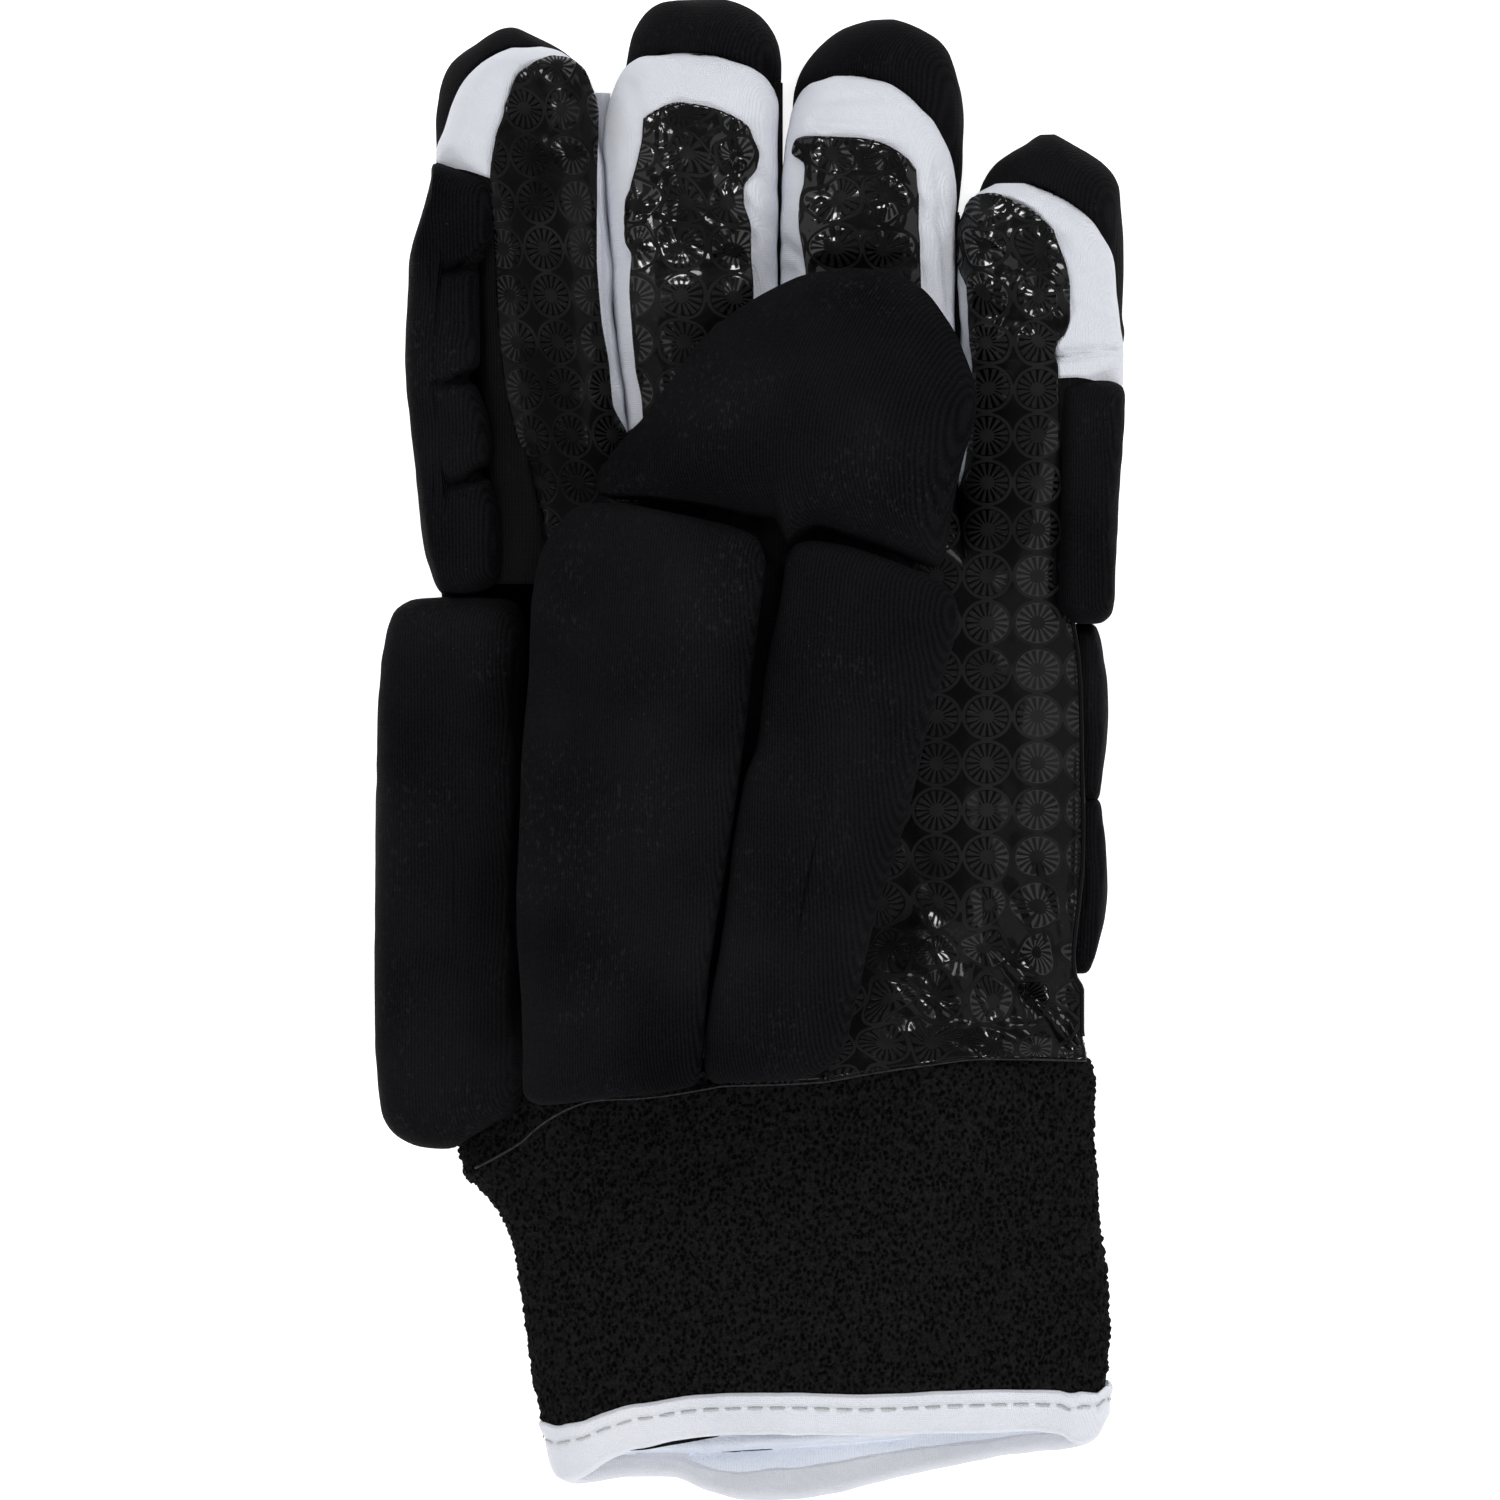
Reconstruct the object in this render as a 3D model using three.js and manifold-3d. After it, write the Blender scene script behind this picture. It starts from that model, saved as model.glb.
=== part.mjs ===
// Indoor hockey glove for the left hand, lying on its back with the palm up and the padded thumb folded over the palm.
// Millimetres. X runs across the palm from the index finger to the little finger, Y towards the fingertips, Z up out
// of the palm. The origin is the middle of the glove's outline, on the surface that it lies on.
import * as THREE from "three";
import Module from "manifold-3d";
import { mergeVertices } from "three/addons/utils/BufferGeometryUtils.js";

const wasm = await Module();
wasm.setup();

// Cloth and foam thicknesses
const WALL = 1.8; // sewn fabric of the hand, fingers and thumb
const KNIT = 2.2; // elastic knit of the cuff
const LINING = 1.0; // white jersey inside the cuff
const BINDING = 7.6; // width of the tape round the cuff's mouth
const GAP = 0.3; // space left between pieces that are sewn or bonded together
const KERF = GAP / 2;
const SEAM_Z = 17; // below it the hand and fingers are back fabric, above it palm fabric and gussets
const BACK_FOAM = 14.5; // how far the foam blocks on the back come up round the fingers and the hand
const THUMB_FOAM = 11; // thickness of the foam over the thumb
const SKY = 90; // higher than anything on the glove

// A table's rows as objects, keyed by the names of its columns.
const table = (names, rows) =>
  rows.map((row) => Object.fromEntries(names.split(" ").map((name, i) => [name, row[i]])));

const TUBE = "y left right low high";
// The four finger stalls: the outline of the fabric from the palm side, and its depth.
const stalls = {
  index: table(TUBE, [
    [36, -48.5, -22, 12.4, 34.8],
    [90, -50.5, -26.3, 11.5, 34.5],
    [101, -53, -27.2, 11.5, 34.5],
    [106, -56.6, -27.5, 11.7, 34],
    [116.4, -54, -28, 12.5, 33],
    [121.3, -51.6, -29.8, 13.5, 31.5],
    [124.4, -48.6, -32.2, 15.5, 29],
    [126.6, -45, -35, 19, 25.5],
  ]),
  middle: table(TUBE, [
    [36, -20.8, 4.6, 12.4, 34.8],
    [90, -25.6, 4.7, 11.5, 34.5],
    [107, -26.7, 4.8, 11.8, 34],
    [116, -26, 4.2, 12.5, 33],
    [121, -24.2, 2.4, 14, 31.5],
    [123.7, -21.5, -2.2, 16, 29],
    [125.4, -17.5, -7.5, 19.5, 25.5],
  ]),
  ring: table(TUBE, [
    [36, 5.2, 36, 12.4, 34.8],
    [90, 5.2, 36.3, 11.5, 34.5],
    [106.7, 5.2, 35.6, 11.8, 34],
    [113, 6.6, 33, 12.3, 33.2],
    [117.6, 8.2, 28.8, 13.5, 32],
    [120.2, 11.2, 23.5, 16, 29],
    [121.8, 14, 20.5, 19.5, 25.5],
  ]),
  little: table(TUBE, [
    [36, 37.2, 56.5, 12.4, 34],
    [60, 37.3, 61, 11.5, 34],
    [69, 37.4, 66.2, 11.5, 33.5],
    [80, 37, 65.8, 11.5, 33.5],
    [87, 37.2, 65, 11.8, 33],
    [93, 37.5, 62.9, 12.3, 32.4],
    [97, 38.8, 59.4, 13.5, 31],
    [99.8, 41, 55.5, 16, 28.5],
    [102, 44.5, 51, 19.5, 25.5],
  ]),
};

// The foam caps that wrap round the fingertips from the back.
const caps = {
  index: table(TUBE, [
    [104.4, -56.9, -28.4, 0, 29],
    [112, -57, -28.6, 0, 30],
    [119.5, -56, -29.6, 0.4, 30],
    [124, -53.6, -31.6, 1.4, 28.5],
    [127.6, -49.6, -35.8, 4, 25.5],
    [130, -45.5, -39.5, 9, 20.5],
  ]),
  middle: table(TUBE, [
    [98.4, -25.2, 4.9, 0, 29],
    [114, -25, 5, 0, 31],
    [123, -22.8, 5, 0.4, 31],
    [128.5, -21, 4, 1.6, 29.5],
    [132.4, -18.8, 1, 4.6, 26],
    [134.8, -15.5, -4.5, 10, 20.5],
  ]),
  ring: table(TUBE, [
    [94.4, 5.9, 36.6, 0, 29],
    [110, 6.2, 37.6, 0, 31],
    [118.5, 7.6, 37.6, 0.4, 31],
    [125.3, 10, 36.6, 1.6, 29.5],
    [129.4, 14.4, 33.4, 4.6, 26],
    [131.6, 19, 28, 10, 20.5],
  ]),
  little: table(TUBE, [
    [76.4, 38.4, 67.2, 0, 28],
    [90, 38.6, 67, 0, 29],
    [98.5, 40.2, 66.4, 0.4, 30],
    [104, 43, 64.2, 2, 28],
    [107.6, 46.8, 60.4, 5, 24.5],
    [110.8, 51.6, 55, 11, 19],
  ]),
};

// The grip fabric's strips along the fingers. Beside the index and little fingers they widen to reach the side pads.
const STRIP = "y left right";
const FAR = 80; // beyond either side of the glove
const strips = {
  index: table(STRIP, [
    [123.4, -42.1, -34.4],
    [121.7, -43.4, -32.6],
    [104, -46.8, -29.4],
    [103.8, -FAR, -29.4],
    [90, -FAR, -28.3],
    [65, -FAR, -25.7],
    [56, -FAR, -22.9],
    [44, -FAR, -22.9],
  ]),
  middle: table(STRIP, [
    [116.3, -15.8, -9.4],
    [113.8, -19, -3.3],
    [102.8, -20.5, -0.2],
    [99.5, -21.6, -1.8],
    [90, -22, -0.7],
    [70.7, -20.7, 0],
    [44, -18.5, 0],
  ]),
  ring: table(STRIP, [
    [110.3, 11.5, 21.2],
    [108.7, 9.8, 23.6],
    [104.4, 9, 29.5],
    [85, 10, 30],
    [44, 10, 30],
  ]),
  little: table(STRIP, [
    [99.7, 42.8, 48.2],
    [96, 39.6, 53.5],
    [91.6, 39, 54.7],
    [84, 39, 56.9],
    [73.6, 39.6, 54.7],
    [65.9, 40.2, 54.9],
    [65.7, 40.2, FAR],
    [56, 39.5, FAR],
    [44, 37.5, FAR],
  ]),
};

// The hand between the cuff's seam and the finger roots. A section leans by skew for each millimetre across the palm,
// and by slant for each millimetre towards the palm side.
const SECTION = "y left right low high skew slant";
const SEAM_Y = -61.5;
const hand = table(SECTION, [
  [SEAM_Y, -52, 60.4, 11, 35.5, 0.16, 0],
  [-45, -51, 59.8, 11.5, 36, 0.06, 0],
  [10, -50, 59.4, 11.5, 36, 0, 0],
  [35, -50.5, 58, 11.5, 36, 0, 0],
  [47.5, -50.5, 57.5, 11.5, 35.8, -0.13, 0],
  [51.5, -48.5, 55.5, 13.5, 33.8, -0.15, 0],
]);

// The cuff, from its seam with the hand down to the tape round its mouth. The back of it is longer than the front.
const cuff = table(SECTION, [
  [SEAM_Y - GAP, -52, 60.4, 11, 35.5, 0.16, 0],
  [-77, -50, 61.6, 9, 33, 0.12, 0],
  [-86, -44, 62.3, 7.4, 31, 0.1, 0.05],
  [-100, -41, 64, 4.4, 27.6, 0.06, 0.2],
  [-121.2, -38.2, 64, 1.3, 22.4, 0.06, 0.5],
]);

// The thumb stall lies on the palm, under its foam.
const thumbStall = table(TUBE, [
  [-55, -15, 4, 38, 44],
  [-50, -23, 12, 36.4, 48],
  [10, -17, 21, 36.4, 50],
  [40, -9, 27, 36.6, 50],
  [62, -1, 30, 37.4, 49.5],
  [73, 6, 29, 39.5, 48],
  [77, 12, 24, 42, 46],
]);
const thumbHole = { left: -14, right: 6, bottom: -44, top: -8 }; // the way from the hand into the thumb stall

// Foam blocks seen from the palm side, as corners with the length that is rounded off each.
const CORNER = "x y round";
const outlines = {
  thumbCap: table(CORNER, [
    [-28.8, 45.4, 3],
    [-20, 60, 10],
    [-1, 82.2, 9],
    [16, 90, 10],
    [34, 84.5, 12],
    [42.2, 65, 12],
    [36.4, 46, 6],
    [34.4, 31.8, 2],
    [8, 39.4, 8],
  ]),
  thumbLong: table(CORNER, [
    [-39, 44.6, 13],
    [-4, 40.6, 8],
    [3.2, 38.2, 4],
    [-9.2, -59.2, 2],
    [-41, -63.2, 4],
    [-42.4, -8, 12],
  ]),
  thumbShort: table(CORNER, [
    [8.6, 37.4, 3],
    [35.2, 29, 6],
    [37, 22, 5],
    [16.6, -58.2, 7],
    [-8.5, -58.9, 2],
  ]),
};
// The line down the middle of each of these blocks, from its wrist end to its tip end
const cores = {
  thumbCap: [new THREE.Vector2(-8, 56), new THREE.Vector2(18, 60)],
  thumbLong: [new THREE.Vector2(-25, -40), new THREE.Vector2(-19, 22)],
  thumbShort: [new THREE.Vector2(4, -42), new THREE.Vector2(20, 16)],
};

// The foam down both sides of the glove: a thick cushion round the thumb's side of the hand, four stitched blocks
// along the index finger, one along the little finger and two along the edge of the palm. Pinch is how far the
// stitching pulls a section in.
const SIDE = "y left right low high pinch";
const handSide = table(SIDE, [
  [27.4, -63.4, -38.6, 10, 36.4, 4],
  [25.8, -63.8, -38.4, 8.5, 38.4, 1],
  [22, -65.4, -38.4, 8, 39, 0],
  [10, -66.9, -38.4, 7.5, 39, 0],
  [-53, -67.8, -38.4, 7.5, 39, 0],
  [-62, -66.9, -38.4, 8, 38, 0],
  [-68, -64.4, -38.6, 9, 36, 0],
  [-70.9, -60.4, -40, 11, 33, 1],
  [-71.6, -57.6, -44, 13, 31, 2],
]);
const indexSide = table(SIDE, [
  [103.4, -57, -48.6, 16, 35, 1.5],
  [99, -59, -48.2, 14.8, 36.5, 0],
  [88.4, -61.4, -47.8, 14.8, 37, 0],
  [86.4, -61.6, -47.8, 14.8, 37, 1.8],
  [84.4, -61.8, -47.8, 14.8, 37, 0],
  [67.6, -62.2, -47.4, 14.8, 37.4, 0],
  [65.4, -62, -47.2, 14.8, 37.4, 1.8],
  [63.2, -61.8, -47, 14.8, 37.4, 0],
  [50.6, -60.6, -46.4, 14.8, 37.4, 0],
  [48.4, -60.4, -46.2, 14.8, 37.4, 1.8],
  [46.2, -60.2, -46, 14.8, 37.4, 0],
  [35, -58.4, -45.4, 14.8, 37, 0],
  [28.8, -56.4, -45.4, 16, 35, 1],
]);
const littleSide = table(SIDE, [
  [65.2, 55, 66.8, 14.8, 35, 1],
  [62, 55.2, 66.8, 14.8, 36.4, 0],
  [27, 56.4, 65.2, 14.8, 36.4, 0],
  [23.4, 56.6, 64.6, 14.8, 35, 1],
]);
const palmEdge = table(SIDE, [
  [22.4, 56.6, 62.4, 10, 30, 0.8],
  [16, 56.6, 63.6, 9, 31, 0],
  [-2, 56.8, 63.8, 9, 31, 0],
  [-9.4, 56.8, 62.6, 9.5, 30, 1.2],
  [-16, 56.8, 63.4, 9, 31, 0],
  [-30, 56.8, 63.4, 9, 31, 0],
  [-40.4, 56.8, 60.9, 10, 29, 0.4],
]);

// Foam blocks on the back of the fingers and of the hand, flat on the surface below.
const BLOCK = "name left right bottom top";
const backBlocks = table(BLOCK, [
  ["index_back_block_1", -50, -24.4, 50, 73],
  ["index_back_block_2", -51, -26.6, 75, 99.6],
  ["middle_back_block_1", -22.8, 3.6, 50, 72.5],
  ["middle_back_block_2", -24, 4, 74.5, 96.6],
  ["ring_back_block_1", 6.2, 35.4, 49, 70.5],
  ["ring_back_block_2", 6.2, 35.6, 72.5, 92.6],
  ["little_back_block_1", 38.4, 62, 46, 59.5],
  ["little_back_block_2", 38.4, 64, 61.5, 74.6],
  ["hand_back_block_index", -37.5, -22.8, -26, 47.5],
  ["hand_back_block_middle", -20.8, 4.2, -26, 47.5],
  ["hand_back_block_ring", 6.2, 34, -26, 46.5],
  ["hand_back_block_little", 36, 56, -26, 43.5],
  ["wrist_back_block", -37.5, 56, -49.5, -28],
]);

// A section's outline is a superellipse that fills the row's box, wider by grow all round. Its points run round the
// Y axis.
const SQUARENESS = 2.5;
function section(row, grow, sides) {
  const [width, depth] = [(row.right - row.left) / 2 + grow, (row.high - row.low) / 2 + grow];
  const middle = new THREE.Vector3((row.left + row.right) / 2, row.y, (row.low + row.high) / 2);
  const widest = Math.cos(Math.PI / sides);
  const bulge = (t) => Math.sign(t) * Math.abs(t / widest) ** (2 / SQUARENESS);
  return Array.from({ length: sides }, (_, i) => {
    const angle = ((i + 0.5) / sides) * 2 * Math.PI;
    const [across, up] = [width * bulge(Math.cos(angle)), depth * bulge(Math.sin(angle))];
    const along = (row.skew ?? 0) * across + (row.slant ?? 0) * up;
    return middle.clone().add(new THREE.Vector3(across, along, up));
  });
}

// One closed skin over rings of equally many points: the ends are closed by fans, or joined when the rings make a loop.
function skin(rings, loop = false) {
  const count = rings[0].length;
  const points = rings.flat();
  const faces = [];
  const last = loop ? rings.length : rings.length - 1;
  for (let r = 0; r < last; r++) {
    for (let i = 0; i < count; i++) {
      const next = (i + 1) % count;
      const [a, b] = [r * count, ((r + 1) % rings.length) * count];
      faces.push(a + i, a + next, b + i, a + next, b + next, b + i);
    }
  }
  if (!loop) {
    for (const [start, turn] of [[0, 1], [points.length - count, -1]]) {
      const hub = points.length + (turn < 0 ? 1 : 0);
      for (let i = 0; i < count; i++) {
        const pair = [start + i, start + ((i + 1) % count)];
        faces.push(hub, ...(turn > 0 ? pair.reverse() : pair));
      }
    }
    const centre = (ring) =>
      ring.reduce((sum, p) => sum.add(p), new THREE.Vector3()).divideScalar(count);
    points.push(centre(rings[0]), centre(rings.at(-1)));
  }
  return solid(new THREE.BufferGeometry().setFromPoints(points).setIndex(faces));
}

// A closed geometry as a solid, turned right side out.
function solid(geometry) {
  const bare = new THREE.BufferGeometry().setAttribute("position", geometry.getAttribute("position"));
  if (geometry.index) bare.setIndex(geometry.index);
  const merged = mergeVertices(bare, 1e-4);
  const make = (triVerts) =>
    new wasm.Manifold(
      new wasm.Mesh({ numProp: 3, vertProperties: merged.attributes.position.array, triVerts }),
    );
  const made = make(new Uint32Array(merged.index.array));
  return made.volume() > 0 ? made : make(new Uint32Array(merged.index.array).reverse());
}

// A stall or cap lofted along the finger. Growing or shrinking it moves its tip as far as its sides.
function tube(rows, grow = 0, sides = 12) {
  const [root, tip] = [rows[0].y, rows.at(-1).y];
  const stretch = (tip - root + grow) / (tip - root);
  return skin(rows.map((row) => section({ ...row, y: root + (row.y - root) * stretch }, grow, sides)));
}

// A wall through the same rows: down its outside and back up its inside.
function sleeve(rows, outer, inner, sides) {
  const rings = (grow) => rows.map((row) => section(row, grow, sides));
  return skin([...rings(outer), ...rings(inner).reverse()], true);
}

// A flat outline raised from one height to another.
function prism(points, low, high) {
  const shape = new THREE.Shape(points.map(([x, y]) => new THREE.Vector2(x, y)));
  const raised = new THREE.ExtrudeGeometry(shape, { depth: high - low, bevelEnabled: false });
  return solid(raised.translate(0, 0, low));
}

// The outline of a strip or stall from the palm side, wider by margin.
function plan(rows, margin) {
  const top = Math.max(...rows.map((row) => row.y));
  const reach = (row) => (row.y === top ? row.y + margin : row.y);
  return [
    ...rows.map((row) => [row.left - margin, reach(row)]),
    ...[...rows].reverse().map((row) => [row.right + margin, reach(row)]),
  ];
}

// An outline of rounded corners, as points. Each rounding starts that far from its corner, on both sides.
function rounded(corners, divisions = 2) {
  const shape = new THREE.Shape();
  corners.forEach((corner, i) => {
    const here = new THREE.Vector2(corner.x, corner.y);
    const towards = (other) => {
      const away = new THREE.Vector2(other.x, other.y).sub(here);
      return here.clone().add(away.setLength(Math.min(corner.round, away.length() * 0.45)));
    };
    const start = towards(corners.at(i - 1));
    const end = towards(corners[(i + 1) % corners.length]);
    if (i) shape.lineTo(start.x, start.y);
    else shape.moveTo(start.x, start.y);
    shape.quadraticCurveTo(here.x, here.y, end.x, end.y);
  });
  shape.closePath();
  const points = shape.getPoints(divisions);
  return points.slice(0, -1).filter((p, i) => !i || p.distanceTo(points[i - 1]) > 0.05);
}

// A foam block between two surfaces, low(x, y) and high(x, y). Its rings are drawn in towards the core, the line down
// its middle: a little to round its edges off, and half way for a middle ring on both faces.
function block(points, core, low, high, edge) {
  const along = core[1].clone().sub(core[0]);
  const nearest = (p) => {
    const share = p.clone().sub(core[0]).dot(along) / along.lengthSq();
    return core[0].clone().addScaledVector(along, THREE.MathUtils.clamp(share, 0, 1));
  };
  const inset = (distance) => points.map((p) => nearest(p).sub(p).setLength(distance).add(p));
  const shrunk = points.map((p) => p.clone().lerp(nearest(p), 0.5));
  const ring = (outline, height, shift) => outline.map((p) => new THREE.Vector3(p.x, p.y, height(p.x, p.y) + shift));
  const half = edge * 0.3;
  const foot = [ring(shrunk, low, 0), ring(inset(edge), low, 0), ring(points, low, edge)];
  const crown = [ring(points, high, -edge), ring(inset(half), high, -half), ring(inset(edge), high, 0)];
  return skin([...foot, ...crown, ring(shrunk, high, 0)]);
}

// The thumb's foam arches over the stall, down to both sides of the line between its two long blocks.
const ARCH = { drop: 9, reach: 38, top: 61.4 };
function archTop(x, y) {
  const ridge = -1 + 0.14 * y;
  return ARCH.top - ARCH.drop * ((x - ridge) / ARCH.reach) ** 2;
}
const archUnder = (x, y) => archTop(x, y) - THUMB_FOAM;

// The thumb cap is a hood over the stall's tip: its foot stays clear of the fingers, and it is open under the stall.
const CAP = { foot: 37.6, stallMiddle: 43, tipFrom: 50, tipTo: 87, tipDrop: 13 };
const capTop = (x, y) => {
  const share = Math.max(0, (y - CAP.tipFrom) / (CAP.tipTo - CAP.tipFrom));
  return archTop(x, CAP.tipFrom) - CAP.tipDrop * share ** 2;
};

// The hand, its finger stalls and their hollow
const HAND_SIDES = 20;
const names = Object.keys(stalls);
const join = (solids) => solids.reduce((sum, next) => sum.add(next));
const filled = (start, grow) => {
  const crotch = { ...hand.at(-1), y: hand.at(-1).y + grow };
  const palm = skin([start, ...hand.slice(1, -1), crotch].map((row) => section(row, grow, HAND_SIDES)));
  return join([palm, ...names.map((name) => tube(stalls[name], grow))]);
};
const pastSeam = { ...hand[0], y: SEAM_Y - 8 };
const shell = filled(hand[0], 0).subtract(filled(pastSeam, -WALL));
const clear = filled(hand[0], GAP);

// The line between the back fabric and what is sewn to it, and the lines between the palm and the finger gussets
const layer = (low, high) => prism([[-FAR, -150], [FAR, -150], [FAR, 150], [-FAR, 150]], low, high);
const upper = shell.intersect(layer(SEAM_Z + KERF, SKY));
const backPanel = shell.intersect(layer(-10, SEAM_Z - KERF));
const palmEnd = [[-FAR, -120], [FAR, -120], [FAR, 47.6], [36.6, 47.6], [5, 52.4], [-22.5, 56.4], [-FAR, 56.4]];
const palmArea = (margin) =>
  join([
    prism(palmEnd.map(([x, y]) => [x, y + margin]), -10, SKY),
    ...names.map((name) => prism(plan(strips[name], margin), -10, SKY)),
  ]);
const hole = (low, high) => {
  const { left, right, bottom, top } = thumbHole;
  return prism([[left, bottom], [right, bottom], [right, top], [left, top]], low, high);
};
const palmPanel = upper.intersect(palmArea(-KERF)).subtract(hole(30, 45));

// Each finger's white gusset runs from root to tip on both sides of the grip strip, within the outline of its stall.
const whites = upper.subtract(palmArea(KERF));
const gusset = (name) => whites.intersect(prism(plan(stalls[name], KERF), SEAM_Z, SKY));

// A fingertip cap keeps off the stall, and stops at the stall's outline on the palm side.
const tipCap = (name) =>
  tube(caps[name]).subtract(tube(stalls[name], GAP)).subtract(prism(plan(stalls[name], GAP), SEAM_Z, SKY));

// Side foam follows the finger and the palm's edge, and is hollowed where the stall lies against it.
const sideFoam = (rows) => {
  const rings = rows.map((row) => section(row, -row.pinch, 12));
  return skin(rings).subtract(clear);
};

// The thumb
const STALL_SIDES = 16;
const stallInside = tube(thumbStall, -WALL, STALL_SIDES);
const stallPiece = tube(thumbStall, 0, STALL_SIDES).subtract(stallInside).subtract(hole(30, 42));
const stallClear = tube(thumbStall, GAP, STALL_SIDES);
const thumbBlock = (name, low, high, edge) =>
  block(rounded(outlines[name]), cores[name], low, high, edge).subtract(stallClear);
const underStall = prism(plan(thumbStall, GAP), CAP.foot - 1, CAP.stallMiddle);
const thumbCap = thumbBlock("thumbCap", () => CAP.foot, capTop, 4).subtract(underStall);

// The cuff and its trim
const cuffClear = skin(cuff.map((row) => section(row, GAP, 20)));
const CUFF_SIDES = 24;
const LINED = KNIT + GAP + LINING; // the knit and the lining together
const PROUD = 0.4; // how far the tape stands off the knit and the lining
const tapeRows = [0, 0.25, 1].map((share) => ({
  ...cuff.at(-1),
  y: cuff.at(-1).y - GAP - share * (BINDING - GAP),
}));

// Finishes
const finish = (color, roughness) => new THREE.MeshStandardMaterial({ color, roughness, metalness: 0 });
const neoprene = finish(0x121214, 0.85);
const backFabric = finish(0x151517, 0.9);
const grip = finish(0x0e0e10, 0.45);
const lycra = finish(0xdadbe6, 0.75);
const knit = finish(0x0b0b0c, 0.95);
const tape = finish(0xdedfe8, 0.7);
const jersey = finish(0xd2d5e0, 0.85);

const glove = new THREE.Group();
function add(name, made, material) {
  const { vertProperties, triVerts } = made.getMesh();
  const geometry = new THREE.BufferGeometry()
    .setAttribute("position", new THREE.BufferAttribute(vertProperties, 3))
    .setIndex(new THREE.BufferAttribute(triVerts, 1));
  const mesh = new THREE.Mesh(geometry, material);
  mesh.name = name;
  glove.add(mesh);
}

add("palm_grip_panel", palmPanel, grip);
add("back_panel", backPanel, backFabric);
for (const name of names) {
  add(`${name}_gusset`, gusset(name), lycra);
  add(`${name}_tip_cap`, tipCap(name), neoprene);
}
add("index_side_pad", sideFoam(indexSide), neoprene);
add("little_side_pad", sideFoam(littleSide), neoprene);
add("palm_edge_pad", sideFoam(palmEdge), neoprene);
add("hand_side_pad", sideFoam(handSide).subtract(cuffClear), neoprene);
add("thumb_stall", stallPiece, backFabric);
add("thumb_cap_pad", thumbCap, neoprene);
add("thumb_long_pad", thumbBlock("thumbLong", archUnder, archTop, 3.2), neoprene);
add("thumb_short_pad", thumbBlock("thumbShort", archUnder, archTop, 3.2), neoprene);
for (const { name, left, right, bottom, top } of backBlocks) {
  const corners = [[left, bottom], [right, bottom], [right, top], [left, top]];
  const outline = rounded(table(CORNER, corners.map(([x, y]) => [x, y, 3])));
  add(name, prism(outline, 0, BACK_FOAM).subtract(clear), neoprene);
}
add("cuff_knit", sleeve(cuff, 0, -KNIT, CUFF_SIDES), knit);
add("cuff_lining", sleeve(cuff, -KNIT - GAP, -LINED, CUFF_SIDES), jersey);
add("cuff_binding", sleeve(tapeRows, PROUD, -LINED - PROUD, CUFF_SIDES), tape);

export default glove;
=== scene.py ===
import math

import bmesh
import bpy
import numpy as np
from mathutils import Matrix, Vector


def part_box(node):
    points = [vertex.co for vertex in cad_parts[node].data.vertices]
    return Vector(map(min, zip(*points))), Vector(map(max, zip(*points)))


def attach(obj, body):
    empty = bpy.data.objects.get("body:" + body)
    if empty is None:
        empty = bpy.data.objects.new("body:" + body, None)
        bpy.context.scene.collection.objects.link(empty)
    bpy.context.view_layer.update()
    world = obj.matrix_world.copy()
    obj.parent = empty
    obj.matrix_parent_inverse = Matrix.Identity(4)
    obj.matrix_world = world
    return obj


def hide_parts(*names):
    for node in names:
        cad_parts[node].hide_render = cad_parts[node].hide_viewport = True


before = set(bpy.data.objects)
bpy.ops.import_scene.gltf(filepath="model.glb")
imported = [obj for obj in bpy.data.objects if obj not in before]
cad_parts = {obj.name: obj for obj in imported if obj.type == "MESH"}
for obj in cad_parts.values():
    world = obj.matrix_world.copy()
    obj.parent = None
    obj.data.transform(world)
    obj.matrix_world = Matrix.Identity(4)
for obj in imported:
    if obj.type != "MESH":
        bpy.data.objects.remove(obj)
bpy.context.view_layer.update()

# The studio: the glove lies palm up on a white light table, and a long lens looks straight down on it. Six
# small soft boxes at both ends of the table put the sparkle on the glossy print, and two large ones fill in
# from the sides.
MM = 0.001
scene = bpy.context.scene
scene.view_settings.view_transform = "Standard"

view_width = 270.0  # what the picture takes in
view_centre = (-0.36, 0.18)
sharp_height = 25.0
lens, sensor = 500.0, 36.0
camera = bpy.data.objects.new("camera", bpy.data.cameras.new("camera"))
camera.data.lens = lens
camera.data.sensor_width = sensor
camera.data.clip_end = 50.0
camera.location = np.array([*view_centre, sharp_height + view_width * lens / sensor]) * MM
scene.collection.objects.link(camera)
scene.camera = camera


def soft_box(name, azimuth, elevation, away, side, power):
    """A square lamp, side metres wide and away metres off, that looks at the glove from an azimuth and an
    elevation in degrees."""
    lamp = bpy.data.lights.new(name, "AREA")
    lamp.size = side
    lamp.energy = power
    holder = bpy.data.objects.new(name, lamp)
    turn, lift = math.radians(azimuth), math.radians(elevation)
    way = (math.cos(lift) * math.cos(turn), math.cos(lift) * math.sin(turn), math.sin(lift))
    holder.location = [away * part for part in way]
    holder.rotation_euler = (math.pi / 2 - lift, 0, turn + math.pi / 2)
    scene.collection.objects.link(holder)


key_boxes = [(50, 44), (90, 36), (130, 48), (230, 44), (270, 52), (310, 40)]  # azimuth, elevation
for number, (azimuth, elevation) in enumerate(key_boxes):
    soft_box(f"key_box_{number}", azimuth, elevation, away=1.3, side=0.25, power=3.3)
for number, azimuth in enumerate([0, 180]):
    soft_box(f"side_box_{number}", azimuth, 40, away=1.6, side=1.5, power=5.9)

world = bpy.data.worlds.new("room")
scene.world = world
world.use_nodes = True
glow = world.node_tree.nodes["Background"].inputs
glow["Color"].default_value = (0.93, 0.96, 1.0, 1)
glow["Strength"].default_value = 0.07


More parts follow.
